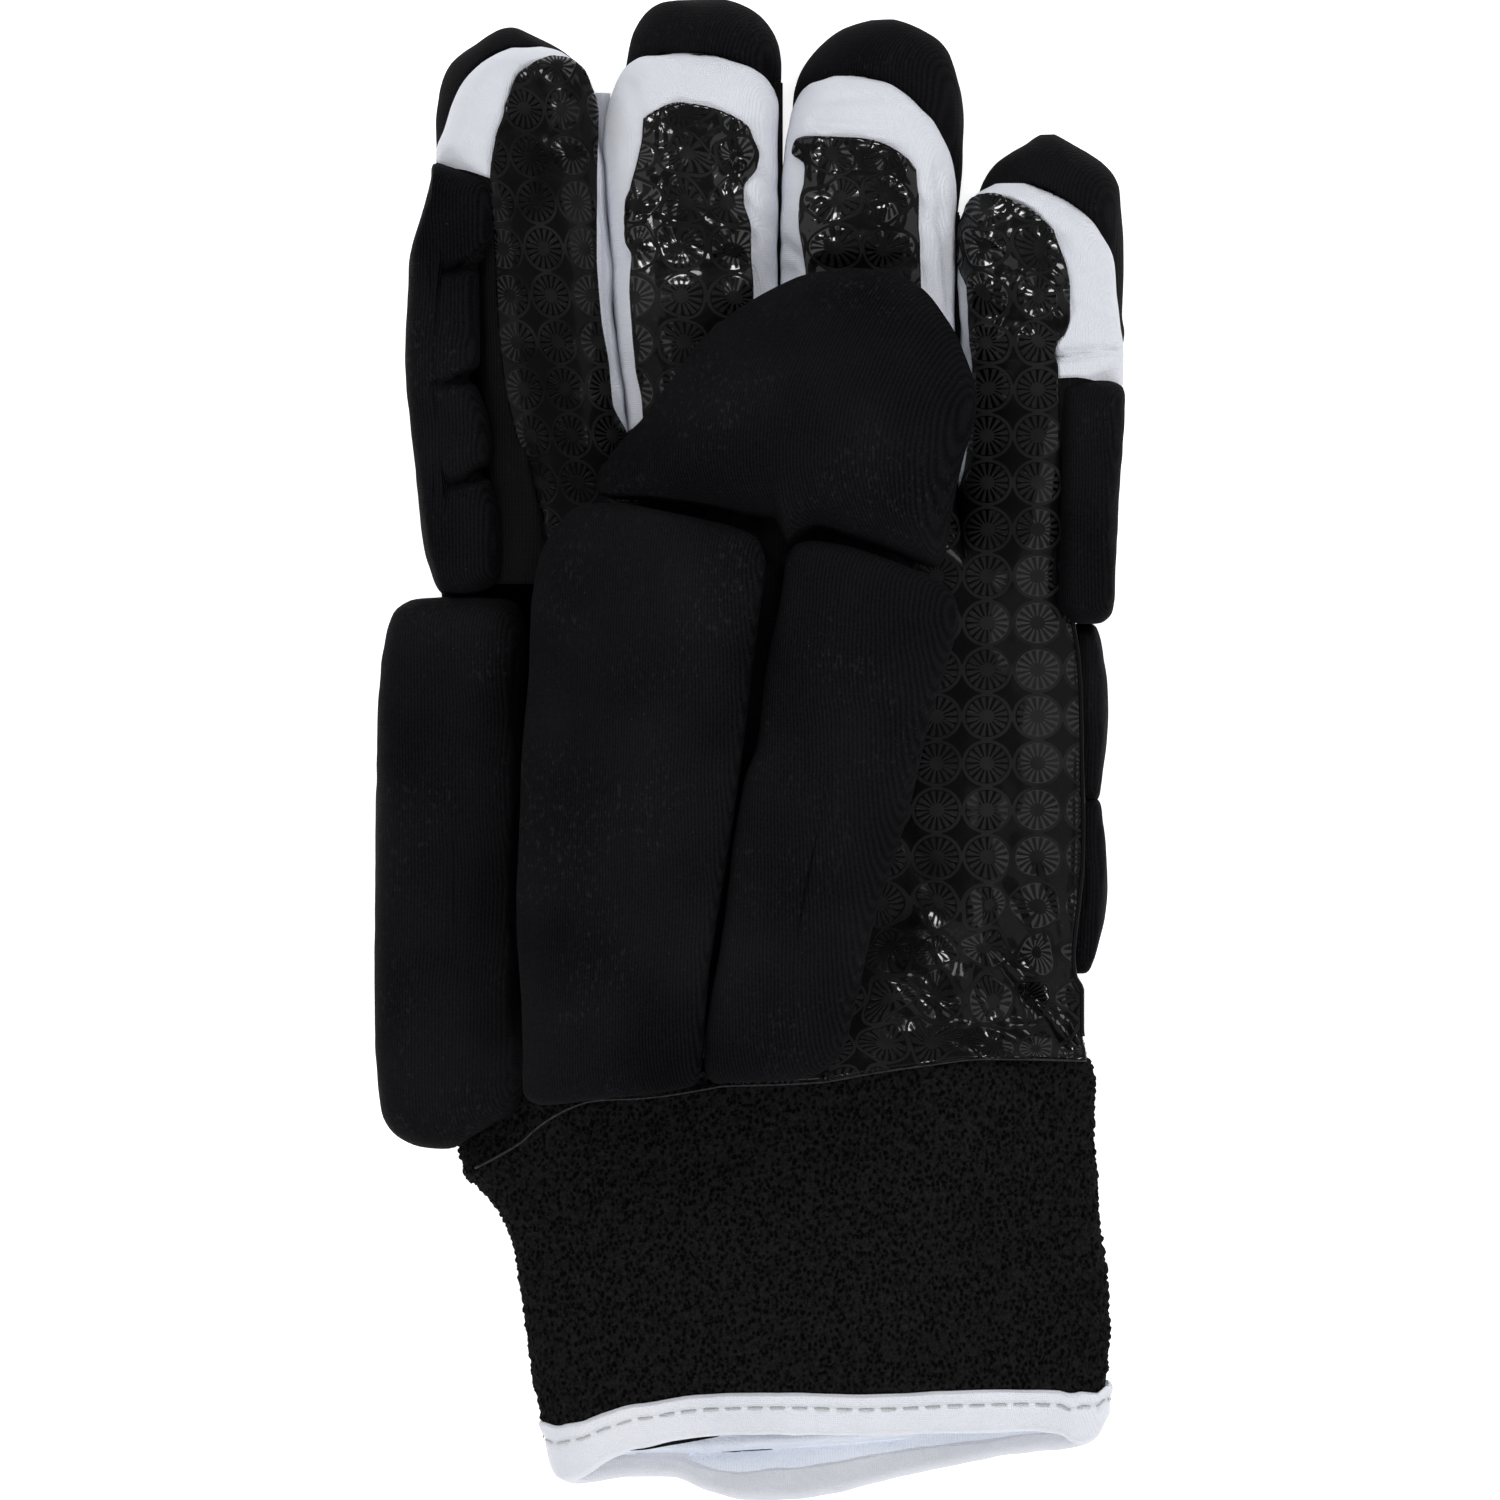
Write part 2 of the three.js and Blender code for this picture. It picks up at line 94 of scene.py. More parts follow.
def finish(name, **constants):
    """A new material, its node tree and its Principled BSDF, whose constant sockets are given by name."""
    material = bpy.data.materials.new(name)
    material.use_nodes = True
    surface = material.node_tree.nodes["Principled BSDF"]
    for socket, value in constants.items():
        surface.inputs[socket.replace("_", " ").title().replace("Ior", "IOR")].default_value = value
    return material, material.node_tree, surface


table_half, table_height = 12.0, -0.0003  # metres
corners = [(-1, -1), (1, -1), (1, 1), (-1, 1)]
table = bpy.data.meshes.new("light_table")
table.from_pydata([(x * table_half, y * table_half, table_height) for x, y in corners], [], [(0, 1, 2, 3)])
floor = bpy.data.objects.new("light_table", table)
scene.collection.objects.link(floor)
acrylic, _, surface = finish("light table acrylic", base_color=(0.9, 0.9, 0.9, 1), roughness=0.9)
surface.inputs["Emission Color"].default_value = (1, 1, 1, 1)
surface.inputs["Emission Strength"].default_value = 0.75
table.materials.append(acrylic)

# The four finger stalls: white stretch fabric, sewn as tubes with a closed tip. The grip fabric, the back
# and the fingertip caps are sewn over them, so that the white shows round the tips and between the fingers.
SQUARE = 2.5  # power of the superellipse that the stalls' and the hand's sections follow
stalls = {  # along, left, right, low, high
    "index": [
        (36, -48.5, -21.4, 12.4, 34.8),
        (62, -49.4, -22.7, 12.0, 34.6),
        (78, -50.0, -24.6, 11.5, 34.5),
        (90, -50.5, -25.3, 11.5, 34.5),
        (101, -54.5, -26.2, 11.5, 34.5),
        (108, -56.7, -27.2, 11.7, 34.0),
        (112, -55.4, -27.9, 12.0, 33.6),
        (117, -54.0, -28.5, 12.5, 33.0),
        (121.3, -51.8, -30.0, 13.5, 32.0),
        (124.0, -49.2, -31.9, 15.5, 30.5),
        (125.6, -46.6, -34.4, 18.0, 28.5),
        (126.6, -43.8, -38.0, 21.0, 26.0),
    ],
    "middle": [
        (36, -21.2, 4.6, 12.4, 34.8),
        (62, -22.8, 4.6, 12.0, 34.6),
        (78, -24.8, 4.7, 11.5, 34.5),
        (90, -25.5, 4.7, 11.5, 34.5),
        (101, -26.4, 4.7, 11.6, 34.3),
        (109, -26.9, 4.8, 11.9, 34.0),
        (116, -26.0, 4.7, 12.5, 33.2),
        (120.2, -24.6, 2.9, 13.5, 32.2),
        (122.6, -23.1, 0.3, 14.6, 31.2),
        (124.6, -20.4, -4.6, 16.6, 29.8),
        (125.8, -15.4, -9.4, 20.0, 27.0),
    ],
    "ring": [
        (36, 4.9, 36.4, 12.4, 34.8),
        (70, 5.0, 36.5, 12.0, 34.6),
        (90, 5.0, 36.6, 11.5, 34.5),
        (101, 5.1, 36.8, 11.6, 34.2),
        (107, 5.6, 35.9, 11.9, 33.8),
        (113.2, 6.6, 33.1, 12.4, 33.2),
        (117.5, 8.0, 28.8, 13.5, 32.2),
        (120.2, 10.4, 23.9, 15.2, 31.0),
        (121.6, 14.2, 19.6, 19.0, 28.0),
    ],
    "little": [
        (36, 37.2, 56.5, 12.4, 34.0),
        (60, 37.2, 61.0, 11.5, 34.0),
        (66, 37.3, 66.6, 11.5, 33.8),
        (71.3, 37.2, 66.8, 11.5, 33.5),
        (80, 37.0, 65.9, 11.5, 33.5),
        (87, 37.1, 65.2, 11.8, 33.0),
        (93, 37.4, 62.9, 12.3, 32.4),
        (97, 38.6, 59.8, 13.2, 31.6),
        (100.1, 40.2, 55.3, 15.0, 30.4),
        (102.1, 43.6, 50.6, 18.6, 27.6),
    ],
}


def bend(start, end, way, way_after, t):
    """A point of a smooth curve, at a share t of the way from start to end. It leaves along way and arrives
    along way_after: both ends and both ways are summed, each times its own cubic in t."""
    return (
        start * (1 + 2 * t) * (1 - t) ** 2 + end * (3 - 2 * t) * t**2
        + way * t * (1 - t) ** 2 + way_after * (t - 1) * t**2
    )


def between(rows, at):
    """The columns of a short table, one after the other, at the places `at` of its first column. Each column
    runs through its rows as a smooth curve: its slope at a row is the harmonic mean of the slopes on both
    sides, so it never overshoots."""
    rows = np.array(sorted(rows), float)
    place, value = rows[:, 0], rows[:, 1:]
    step = np.diff(place)
    climb = np.diff(value, axis=0) / step[:, None]
    same_way = climb[:-1] * climb[1:] > 0
    both = np.where(same_way, climb[:-1] + climb[1:], 1)
    inner = np.where(same_way, 2 * climb[:-1] * climb[1:] / both, 0)
    slope = np.concatenate([climb[:1], inner, climb[-1:]])
    at = np.clip(at, place[0], place[-1])
    i = np.clip(np.searchsorted(place, at, side="right") - 1, 0, len(step) - 1)
    t = ((at - place[i]) / step[i])[..., None]
    reach = step[i][..., None]
    return np.moveaxis(bend(value[i], value[i + 1], slope[i] * reach, slope[i + 1] * reach, t), -1, 0)


def rise(start, end, value):
    """0 before start and 1 after end. Between them it is three times the share's square less twice its
    cube."""
    t = np.clip((value - start) / (end - start), 0, 1)
    return t * t * (3 - 2 * t)


def waves(points, size, seed, count=20):
    """Soft irregular swells over points, about -1 to 1: a sum of plane sine waves of about that size, each
    in a random direction."""
    chance = np.random.default_rng(seed)
    way = chance.normal(size=(count, 3))
    way /= np.linalg.norm(way, axis=1, keepdims=True)
    pitch = size * chance.uniform(0.75, 1.35, (count, 1))
    start = chance.uniform(0, math.tau, count)
    return np.sin(points @ (way * math.tau / pitch).T + start).sum(-1) / math.sqrt(count)


def xyz(x, y, z):
    """Points from their coordinates, each of which is an array, or one number for all."""
    return np.stack(np.broadcast_arrays(x, y, z), axis=-1)


def full_turn(count):
    """Turns spaced evenly all round a section, as one row."""
    return np.linspace(0, math.tau, count, endpoint=False)[None]


def closing(start, end, count):
    """Places from start to end as one column, closer together towards the end: the sine of a quarter turn."""
    return start + (end - start) * np.sin(np.linspace(0, math.pi / 2, count))[:, None]


def section_point(left, right, low, high, along, turn, grow=0.0):
    """A point of a superellipse that fills left to right and low to high: its half widths times the cosine
    and the sine of the turn, each to the power 2 / SQUARE. Turn 0 is its right end, and a quarter turn its
    top."""
    cosine, sine = np.cos(turn), np.sin(turn)
    x = (left + right) / 2 + ((right - left) / 2 + grow) * np.sign(cosine) * np.abs(cosine) ** (2 / SQUARE)
    z = (low + high) / 2 + ((high - low) / 2 + grow) * np.sign(sine) * np.abs(sine) ** (2 / SQUARE)
    return xyz(x, along, z)


def stall_point(rows, along, turn, grow=0.0):
    """A point of a stall's skin, at a place along it and a turn round it."""
    left, right, low, high = between(rows, along)
    return section_point(left, right, low, high, along, turn, grow)


def facing(points, wrap=False):
    """Unit normals of a grid of points: the cross product of its two directions. They point out of a tube
    whose rows run along it and whose columns turn anticlockwise round it."""
    down = np.gradient(points, axis=0)
    across = (np.roll(points, -1, 1) - np.roll(points, 1, 1)) / 2 if wrap else np.gradient(points, axis=1)
    normal = np.cross(down, across)
    return normal / np.maximum(np.linalg.norm(normal, axis=-1, keepdims=True), 1e-9)


def dent(points, start, end, deep_start, deep_end, width):
    """How deep a line is pressed into a surface, seen from above: from one depth to the other along it, and
    falling off beside it as a bell curve."""
    start, end = np.array(start, float), np.array(end, float)
    way = end - start
    offset = points[..., :2] - start
    share = np.clip(offset @ way / (way @ way), 0, 1)
    apart = np.linalg.norm(offset - share[..., None] * way, axis=-1)
    return (deep_start + (deep_end - deep_start) * share) * np.exp(-((apart / width) ** 2))


def piece(name, grids, wrap=False, maps=None):
    """An object through grids of points in millimetres, rows by columns. With wrap, the last column joins the
    first. maps gives each grid's UV. Points that meet are merged, which closes seams and poles, and faces are
    turned to point outwards."""
    points, faces, uvs, start = [], [], [], 0
    for number, grid in enumerate(grids):
        rows, columns = grid.shape[:2]
        index = np.arange(rows * columns).reshape(rows, columns) + start
        if wrap:
            index = np.concatenate([index, index[:, :1]], axis=1)
        corners = [index[:-1, :-1], index[:-1, 1:], index[1:, 1:], index[1:, :-1]]
        faces.append(np.stack(corners, axis=-1).reshape(-1, 4))
        points.append(grid.reshape(-1, 3) * MM)
        if maps is not None:
            uvs.append(maps[number].reshape(-1, 2))
        start += rows * columns
    faces = np.concatenate(faces)
    mesh = bpy.data.meshes.new(name)
    mesh.from_pydata(np.concatenate(points).tolist(), [], faces.tolist())
    if maps is not None:
        layer = mesh.uv_layers.new(name="cloth")
        layer.data.foreach_set("uv", np.concatenate(uvs)[faces.ravel()].ravel())
    shape = bmesh.new()
    shape.from_mesh(mesh)
    bmesh.ops.remove_doubles(shape, verts=shape.verts, dist=1e-6)
    bmesh.ops.recalc_face_normals(shape, faces=shape.faces)
    shape.to_mesh(mesh)
    shape.free()
    mesh.shade_smooth()
    made = bpy.data.objects.new(name, mesh)
    scene.collection.objects.link(made)
    return made


def closed(grid):
    """A grid whose first and last rows are drawn to a point, which closes both its ends."""
    ends = [np.broadcast_to(grid[row].mean(0), grid[row].shape)[None] for row in (0, -1)]
    return np.concatenate([ends[0], grid, ends[1]])


def joined(grid):
    """A tube's grid with its first column again as its last, which closes it round."""
    return np.concatenate([grid, grid[:, :1]], axis=1)


def fit(made, material, node):
    """Gives a piece its material and its place in the frame: it stays on the glove's one body and stands in
    for a CAD node, which it hides."""
    made.data.materials.append(material)
    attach(made, "root")
    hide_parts(node)


def effect(name, inputs, outputs):
    """A new node group with named sockets: its tree, its input node and its output node."""
    group = bpy.data.node_groups.new(name, "ShaderNodeTree")
    for socket, kind in inputs.items():
        group.interface.new_socket(socket, in_out="INPUT", socket_type=f"NodeSocket{kind}")
    for socket in outputs:
        group.interface.new_socket(socket, in_out="OUTPUT", socket_type="NodeSocketFloat")
    return group, group.nodes.new("NodeGroupInput").outputs, group.nodes.new("NodeGroupOutput")


def add(tree, kind, inputs=(), **settings):
    """A new shader node. settings are its own properties, and inputs its sockets' values, or links into
    them."""
    made = tree.nodes.new(kind)
    for name, value in settings.items():
        setattr(made, name, value)
    for socket, value in dict(inputs).items():
        if isinstance(value, bpy.types.NodeSocket):
            tree.links.new(value, made.inputs[socket])
        else:
            made.inputs[socket].default_value = value
    return made


def maths(tree, operation, *values):
    """The output of a Math node over values or sockets."""
    return add(tree, "ShaderNodeMath", enumerate(values), operation=operation).outputs[0]


def cloudy(tree, place, scale, detail=2.0):
    """The value of a Noise node at a place in millimetres."""
    made = add(tree, "ShaderNodeTexNoise", {"Vector": place, "Scale": scale, "Detail": detail})
    return made.outputs["Fac"]


def millimetres(tree):
    """Object coordinates in millimetres."""
    place = add(tree, "ShaderNodeTexCoord").outputs["Object"]
    return add(tree, "ShaderNodeVectorMath", {0: place, "Scale": 1 / MM}, operation="SCALE").outputs[0]


def stretched(tree, place, by):
    """A place, each of its coordinates times a factor of its own."""
    return add(tree, "ShaderNodeVectorMath", {0: place, 1: by}, operation="MULTIPLY").outputs[0]


def tint(tree, mask, dark, light, start=0.0, end=1.0):
    """A colour between two, by a mask."""
    ramp = add(tree, "ShaderNodeValToRGB", {"Fac": mask})
    for stop, place, colour in zip(ramp.color_ramp.elements, (start, end), (dark, light)):
        stop.position = place
        stop.color = (*colour, 1)
    return ramp.outputs["Color"]


def raise_by(tree, surface, height):
    """Bumps a surface by a height in millimetres."""
    bump = add(tree, "ShaderNodeBump", {"Height": height, "Strength": 1.0, "Distance": MM})
    tree.links.new(bump.outputs["Normal"], surface.inputs["Normal"])


def soft_step(tree, value, start, end):
    """0 where a value is at start, 1 where it is at end, and a smooth step between."""
    made = add(tree, "ShaderNodeMapRange", {0: value, 1: start, 2: end}, interpolation_type="SMOOTHSTEP")
    return made.outputs[0]


jersey, given, result = effect(
    "jersey face", {"Place": "Vector", "Rib": "Float"}, ["Height", "Fleck", "Shade"]
)
place, pitch = given["Place"], given["Rib"]
parts = add(jersey, "ShaderNodeSeparateXYZ", {0: place}).outputs
wander = maths(jersey, "MULTIPLY", cloudy(jersey, place, 0.05), 1.6)
across = maths(jersey, "ADD", maths(jersey, "MULTIPLY_ADD", parts["Z"], 0.8, parts["X"]), wander)
rib = maths(jersey, "SINE", maths(jersey, "DIVIDE", maths(jersey, "MULTIPLY", across, math.tau), pitch))
course = maths(jersey, "DIVIDE", maths(jersey, "MULTIPLY", parts["Y"], math.tau), pitch)
loop = maths(jersey, "SINE", maths(jersey, "MULTIPLY_ADD", rib, 0.8, course))
fuzz = cloudy(jersey, place, 2.4, 3.0)
yarn = maths(jersey, "MULTIPLY_ADD", rib, 0.03, maths(jersey, "MULTIPLY", loop, 0.014))
jersey.links.new(maths(jersey, "MULTIPLY_ADD", fuzz, 0.1, yarn), result.inputs["Height"])
dots = add(jersey, "ShaderNodeTexVoronoi", {"Vector": place, "Scale": 0.42})
bright = maths(jersey, "LESS_THAN", dots.outputs["Distance"], 0.05)
hairs = soft_step(jersey, cloudy(jersey, stretched(jersey, place, (1.0, 0.5, 1.0)), 1.5), 0.54, 0.74)
patches = soft_step(jersey, cloudy(jersey, place, 0.05), 0.42, 0.66)
lint = maths(jersey, "MULTIPLY", maths(jersey, "MULTIPLY", hairs, patches), 0.3)
jersey.links.new(maths(jersey, "MULTIPLY_ADD", bright, dots.outputs["Color"], lint), result.inputs["Fleck"])
tone = maths(jersey, "MULTIPLY_ADD", cloudy(jersey, place, 0.035), 0.6, maths(jersey, "MULTIPLY", fuzz, 0.4))
# Shade: a random tone, plus painted shade on the ribs, lighter on their crests and darker in the valleys
# between them.
jersey.links.new(maths(jersey, "MULTIPLY_ADD", rib, 0.09, tone), result.inputs["Shade"])


def jersey_finish(name, rib, dark, light, fleck=(0, 0, 0), **constants):
    """A knitted face fabric: fine ribs with painted shade between them, a soft change of tone, and here and
    there a lighter fibre.
    """
    material, tree, surface = finish(name, **constants)
    face = add(tree, "ShaderNodeGroup", node_tree=jersey)
    tree.links.new(millimetres(tree), face.inputs["Place"])
    face.inputs["Rib"].default_value = rib
    base = tint(tree, face.outputs["Shade"], dark, light, 0.3, 0.7)
    speck = tint(tree, face.outputs["Fleck"], (0, 0, 0), fleck)
    both = add(tree, "ShaderNodeVectorMath", {0: base, 1: speck}, operation="ADD")
    tree.links.new(both.outputs[0], surface.inputs["Base Color"])
    raise_by(tree, surface, face.outputs["Height"])
    return material


white_stretch = jersey_finish(
    "white stretch fabric", 0.36, (0.63, 0.65, 0.71), (0.68, 0.69, 0.74), roughness=0.75,
    specular_ior_level=0.25,
)
stall_creases = {  # start, end, depth at both and width of the folds pressed into the white
    "index": [((-27.5, 112), (-24.4, 66), 0.5, 0.9, 0.8), ((-53.6, 108.0), (-48.0, 106.5), 0.3, 0.3, 1.2)],
    "middle": [
        ((0.6, 107.5), (4.4, 101), 1.1, 0.2, 1.1),
        ((-1.4, 98.6), (3.6, 94), 1.2, 0.4, 1.3),
        ((0.4, 92), (4.0, 84), 0.9, 0.5, 1.3),
        ((0.2, 86), (4.2, 76), 0.8, 0.8, 1.5),
        ((-22.5, 90), (-24.8, 87), 1.0, 0.4, 0.9),
        ((-21.6, 70), (-20.4, 58), 0.7, 1.2, 1.0),
        ((-22.0, 119.5), (-19.0, 112.0), 0.5, 0.2, 1.6),
    ],
    "ring": [
        ((11.0, 112.9), (25.5, 111.4), 0.8, 0.3, 0.8),
        ((9.0, 117.0), (22.0, 117.4), 0.3, 0.4, 1.1),
        ((30.4, 98), (36.0, 92), 0.9, 0.4, 1.2),
        ((5.6, 91), (9.2, 87.4), 1.3, 1.0, 1.3),
        ((6.4, 86), (8.8, 78), 1.4, 1.2, 1.6),
        ((30.4, 86), (35.0, 74), 1.0, 0.8, 1.4),
        ((33.4, 104), (36.0, 80), 0.5, 0.9, 1.1),
    ],
    "little": [
        ((53.6, 70.8), (65.4, 72.2), 2.2, 0.8, 0.75),
        ((38.0, 92), (38.6, 60), 0.5, 0.8, 0.9),
        ((55.6, 92), (63.0, 84), 0.8, 0.3, 1.2),
        ((57.6, 80), (64.0, 77), 0.6, 0.3, 1.1),
    ],
}


grip_strips = {  # along, left, right: the edges of the printed strip that is sewn on each stall
    "index": [
        (33, -37.6, -22.9), (39, -38.7, -22.9), (44.5, -39.6, -22.9), (51, -41.0, -22.9),
        (56.3, -42.0, -22.9), (62.3, -43.4, -25.4), (69.3, -44.6, -26.1), (78, -45.4, -27.5),
        (90, -45.9, -28.3), (103, -46.8, -28.3), (111, -45.7, -28.2), (114, -44.6, -28.2),
        (117.2, -44.1, -28.3), (121.7, -43.4, -28.9), (126, -42.4, -30.5),
    ],
    "middle": [
        (46, -22.9, 2.4), (56.3, -22.9, 1.8), (59.6, -19.2, 1.0), (62.8, -19.4, 0.6), (68.6, -20.5, 0.2),
        (75, -21.1, 0.0), (83.2, -21.6, -0.1), (89, -21.4, -0.4), (91.3, -22.3, -0.5), (94.1, -22.5, -0.6),
        (99, -22.3, -1.8), (101, -21.6, -1.8), (104.8, -20.6, 0.5), (107.3, -20.0, 0.9), (110.5, -19.4, 0.4),
        (114, -19.2, 0.2), (118, -19.0, 0.0),
    ],
    "ring": [
        (46, 2.4, 37.4), (56, 8.0, 31.0), (70, 9.6, 30.4), (85, 9.9, 30.0), (90.2, 9.4, 29.9),
        (94.8, 8.8, 29.6), (99.4, 9.0, 29.7), (102.1, 9.7, 29.3), (105.4, 9.9, 29.2), (107.4, 7.6, 29.2),
        (112, 7.4, 29.2),
    ],
    "little": [
        (46, 37.4, 55.4), (52, 38.8, 55.0), (66, 40.0, 54.9), (68.6, 40.0, 54.9), (71.3, 39.8, 54.4),
        (73.6, 39.5, 54.9), (75.1, 39.4, 56.2), (77.8, 39.2, 56.9), (83, 39.1, 56.9), (86.6, 37.8, 56.4),
        (90.2, 37.3, 55.2), (93.8, 37.6, 54.0), (97.6, 38.4, 53.4), (101, 38.8, 53.2),
    ],
}
strip_ends = {  # share of the way across a strip, and how far along its end reaches there
    "index": [(0, 116), (0.06, 121.6), (0.2, 124.2), (0.45, 125.2), (0.7, 124.6), (0.88, 122.4), (1, 118)],
    "middle": [
        (0, 113.6), (0.12, 115.0), (0.32, 116.5), (0.55, 115.4), (0.75, 113.9), (0.9, 112), (1, 107.6),
    ],
    "ring": [(0, 108.0), (0.1, 110.1), (0.22, 110.5), (0.62, 110.1), (0.78, 108.6), (0.9, 106.6), (1, 104.4)],
    "little": [(0, 94.5), (0.1, 98.4), (0.26, 100.1), (0.45, 100.3), (0.68, 99.2), (0.88, 96.8), (1, 93.6)],
}
crotches = [(-42.0, 56.3), (-22.9, 56.3), (2.4, 51.6), (37.4, 47.0), (55.4, 45.0)]  # where two strips meet
sunk, root_sunk = 2.8, 3.5  # how far the stretch fabric is pressed in under a strip, and below the crotches


def under_strip(name, points):
    """1 where a stall lies under its strip of grip fabric and 0 where it is bare, with a soft step between
    them."""
    left, right = between(grip_strips[name], points[..., 1])
    share = (points[..., 0] - left) / (right - left)
    inward = np.minimum(share, 1 - share) * (right - left)
    end = between(strip_ends[name], share)[0]
    return rise(0.25, 1.4, inward) * rise(0.4, 1.8, end - points[..., 1])


def cord(path, radius, sides=8):
    """A round cord along a path of points: round each, the radius times the cosine of a turn to its side and
    times the sine over it. Its ends are drawn to a point."""
    path = np.asarray(path, float)
    way = np.gradient(path, axis=0)
    side = np.cross(way, [0, 0, 1.0])
    side /= np.linalg.norm(side, axis=1, keepdims=True)
    over = np.cross(side, way)
    over /= np.linalg.norm(over, axis=1, keepdims=True)
    turn = np.linspace(0, math.tau, sides + 1)[None, :, None]
    tube = path[:, None] + radius * (np.cos(turn) * side[:, None] + np.sin(turn) * over[:, None])
    return closed(tube)


stall_seam = [  # along, across: where the index and the middle stall are sewn together
    (56, -22.4), (60, -22.6), (68, -23.6), (76, -24.5), (86, -25.3), (94, -25.9), (101, -26.6), (108, -27.3),
    (118.6, -27.0),
]
allowance_height, allowance_radius = 19.5, 1.5
along = np.linspace(stall_seam[0][0], stall_seam[-1][0], 100)
allowance = cord(xyz(between(stall_seam, along)[0], along, allowance_height), allowance_radius)
for number, (name, rows) in enumerate(stalls.items()):
    skin = stall_point(rows, closing(rows[0][0], rows[-1][0], 120), full_turn(112))
    out = facing(skin, wrap=True)
    pressed = sum(dent(skin, *crease) for crease in stall_creases[name]) + sunk * under_strip(name, skin)
    pressed += root_sunk * (1 - rise(-9, -1, skin[..., 1] - between(crotches, skin[..., 0])[0]))
    swell = 0.22 * waves(skin, 17, 11 + number) + 0.08 * waves(skin, 6, 31 + number)
    skin += out * (swell - pressed * rise(0, 0.5, out[..., 2]))[..., None]
    grids = [joined(closed(skin))]
    if name == "index":
        grids.append(allowance)
    stall = piece(f"{name}_stall", grids)
    fit(stall, white_stretch, f"{name}_gusset")

# The back of the hand and of the fingers: black stretch fabric on a thin foam, one shell from the wrist to
# the tips. It is sewn to the palm along the glove's sides, and wraps up beside the grip where a side pad
# hides the white.
hand = [  # along, left, right, low, high
    (-72, -52.0, 60.2, 10.4, 34.6),
    (-61, -52.0, 59.9, 11.0, 35.5),
    (-50, -51.5, 58.5, 11.4, 36.0),
    (-43, -51.0, 58.4, 11.5, 36.0),
    (-30, -51.0, 60.0, 11.5, 36.0),
    (10, -50.0, 60.6, 11.5, 36.0),
    (35, -50.5, 59.4, 11.5, 36.0),
    (56, -50.5, 58.4, 11.8, 35.6),
]
seam_height = 17.0


def turn_where_high(low, high, z):
    """The turn on a section's right side at which it reaches a height."""
    part = (z - (low + high) / 2) / ((high - low) / 2)
    return np.arcsin(np.sign(part) * np.abs(part) ** (SQUARE / 2))


def turn_where_across(left, right, x):
    """The turn on a section's palm side at which it reaches a place across."""
    part = np.clip((x - (left + right) / 2) / ((right - left) / 2), -1, 1)
    return np.arccos(np.sign(part) * np.abs(part) ** (SQUARE / 2))


def back_shell(rows, start, end, count, grow, left_x=None, right_x=None):
    """The part of a section's skin below the seam, from its left side under the glove to its right side.
    Where left_x or right_x is given, that side goes on up and over to that place across."""
    along = np.linspace(start, end, count)
    left, right, low, high = between(rows, along)
    side = turn_where_high(low, high, seam_height)
    first = math.pi - side if left_x is None else turn_where_across(left, right, left_x(along))
    last = math.tau + side if right_x is None else math.tau + turn_where_across(left, right, right_x(along))
    share = np.linspace(0, 1, 60)[None]
    turn = first[:, None] + (last - first)[:, None] * share
    return stall_point(rows, along[:, None], turn, grow)


def thicken(made, name, wall):
    """Gives a sheet a wall that many millimetres thick, inwards from its face."""
    cloth = made.modifiers.new(name, "SOLIDIFY")
    cloth.thickness = wall * MM
    cloth.offset = -1


back_stretch = jersey_finish(
    "black stretch back", 0.8, (0.0022, 0.0022, 0.0024), (0.0052, 0.0052, 0.0055), fleck=(0.02, 0.02, 0.02),
    roughness=0.85, specular_ior_level=0.05,
)
tucked = 1.2  # how far a wrapped edge lies under the grip
wrap_start = 30.0  # along
backs = [back_shell(hand, -66, 54, count=80, grow=0.7)]
for name, end in [("index", 120), ("middle", 118), ("ring", 114), ("little", 95)]:
    backs.append(back_shell(stalls[name], 42, end, count=56, grow=0.6))
index_wrap = back_shell(
    stalls["index"], wrap_start, 104, count=80, grow=0.35,
    left_x=lambda along: between(grip_strips["index"], along)[0] + tucked,
)[:, :24]
little_wrap = back_shell(
    stalls["little"], wrap_start, 66, count=44, grow=0.35,
    right_x=lambda along: between(grip_strips["little"], along)[1] - tucked,
)[:, 36:]
wrap_ends = [  # across, along: where the white begins
    [(-57, 105.4), (-51.8, 104.3), (-46.8, 102.7), (-44, 101.5)],
    [(52, 66.6), (54.9, 66.9), (58.1, 67.1), (62.6, 66.3), (66.4, 65.4)],
]
for wrap, ends in zip((index_wrap, little_wrap), wrap_ends):
    longer = (between(ends, wrap[..., 0])[0] - wrap_start) / (wrap[-1, 0, 1] - wrap_start)
    wrap[..., 1] = wrap_start + (wrap[..., 1] - wrap_start) * longer
    backs.append(wrap)
web_right, web_height = -44.0, 14.0
web_left = [  # along, across: the edge of the flat web under the index finger's side pad
    (20, -55.0), (27.9, -56.0), (47.5, -57.8), (64, -59.4), (80, -60.0), (90, -59.4), (98, -57.0),
    (102, -55.0),
]
along = np.linspace(web_left[0][0], web_left[-1][0], 60)[:, None]
share = np.linspace(0, 1, 12)[None]
from_x = between(web_left, along)[0]
backs.append(xyz(from_x + (web_right - from_x) * share, along, web_height))
# Black cords in the gaps where two stalls meet: they shut out the table's light, and their black stands in
# for the shade in the crease between the white stalls (painted shade).
shade_cords = [(4.85, 54, 121, 0.3), (36.9, 49, 97, 0.42)]  # across, from, to, radius: where two stalls meet
shade_cord_height = 24.6
for x, start, end, radius in shade_cords:
    along = np.linspace(start, end, 90)
    backs.append(cord(xyz(x, along, shade_cord_height), radius))
back = piece("back_shell", backs)
thicken(back, "foam backing", 1.0)
fit(back, back_stretch, "back_panel")

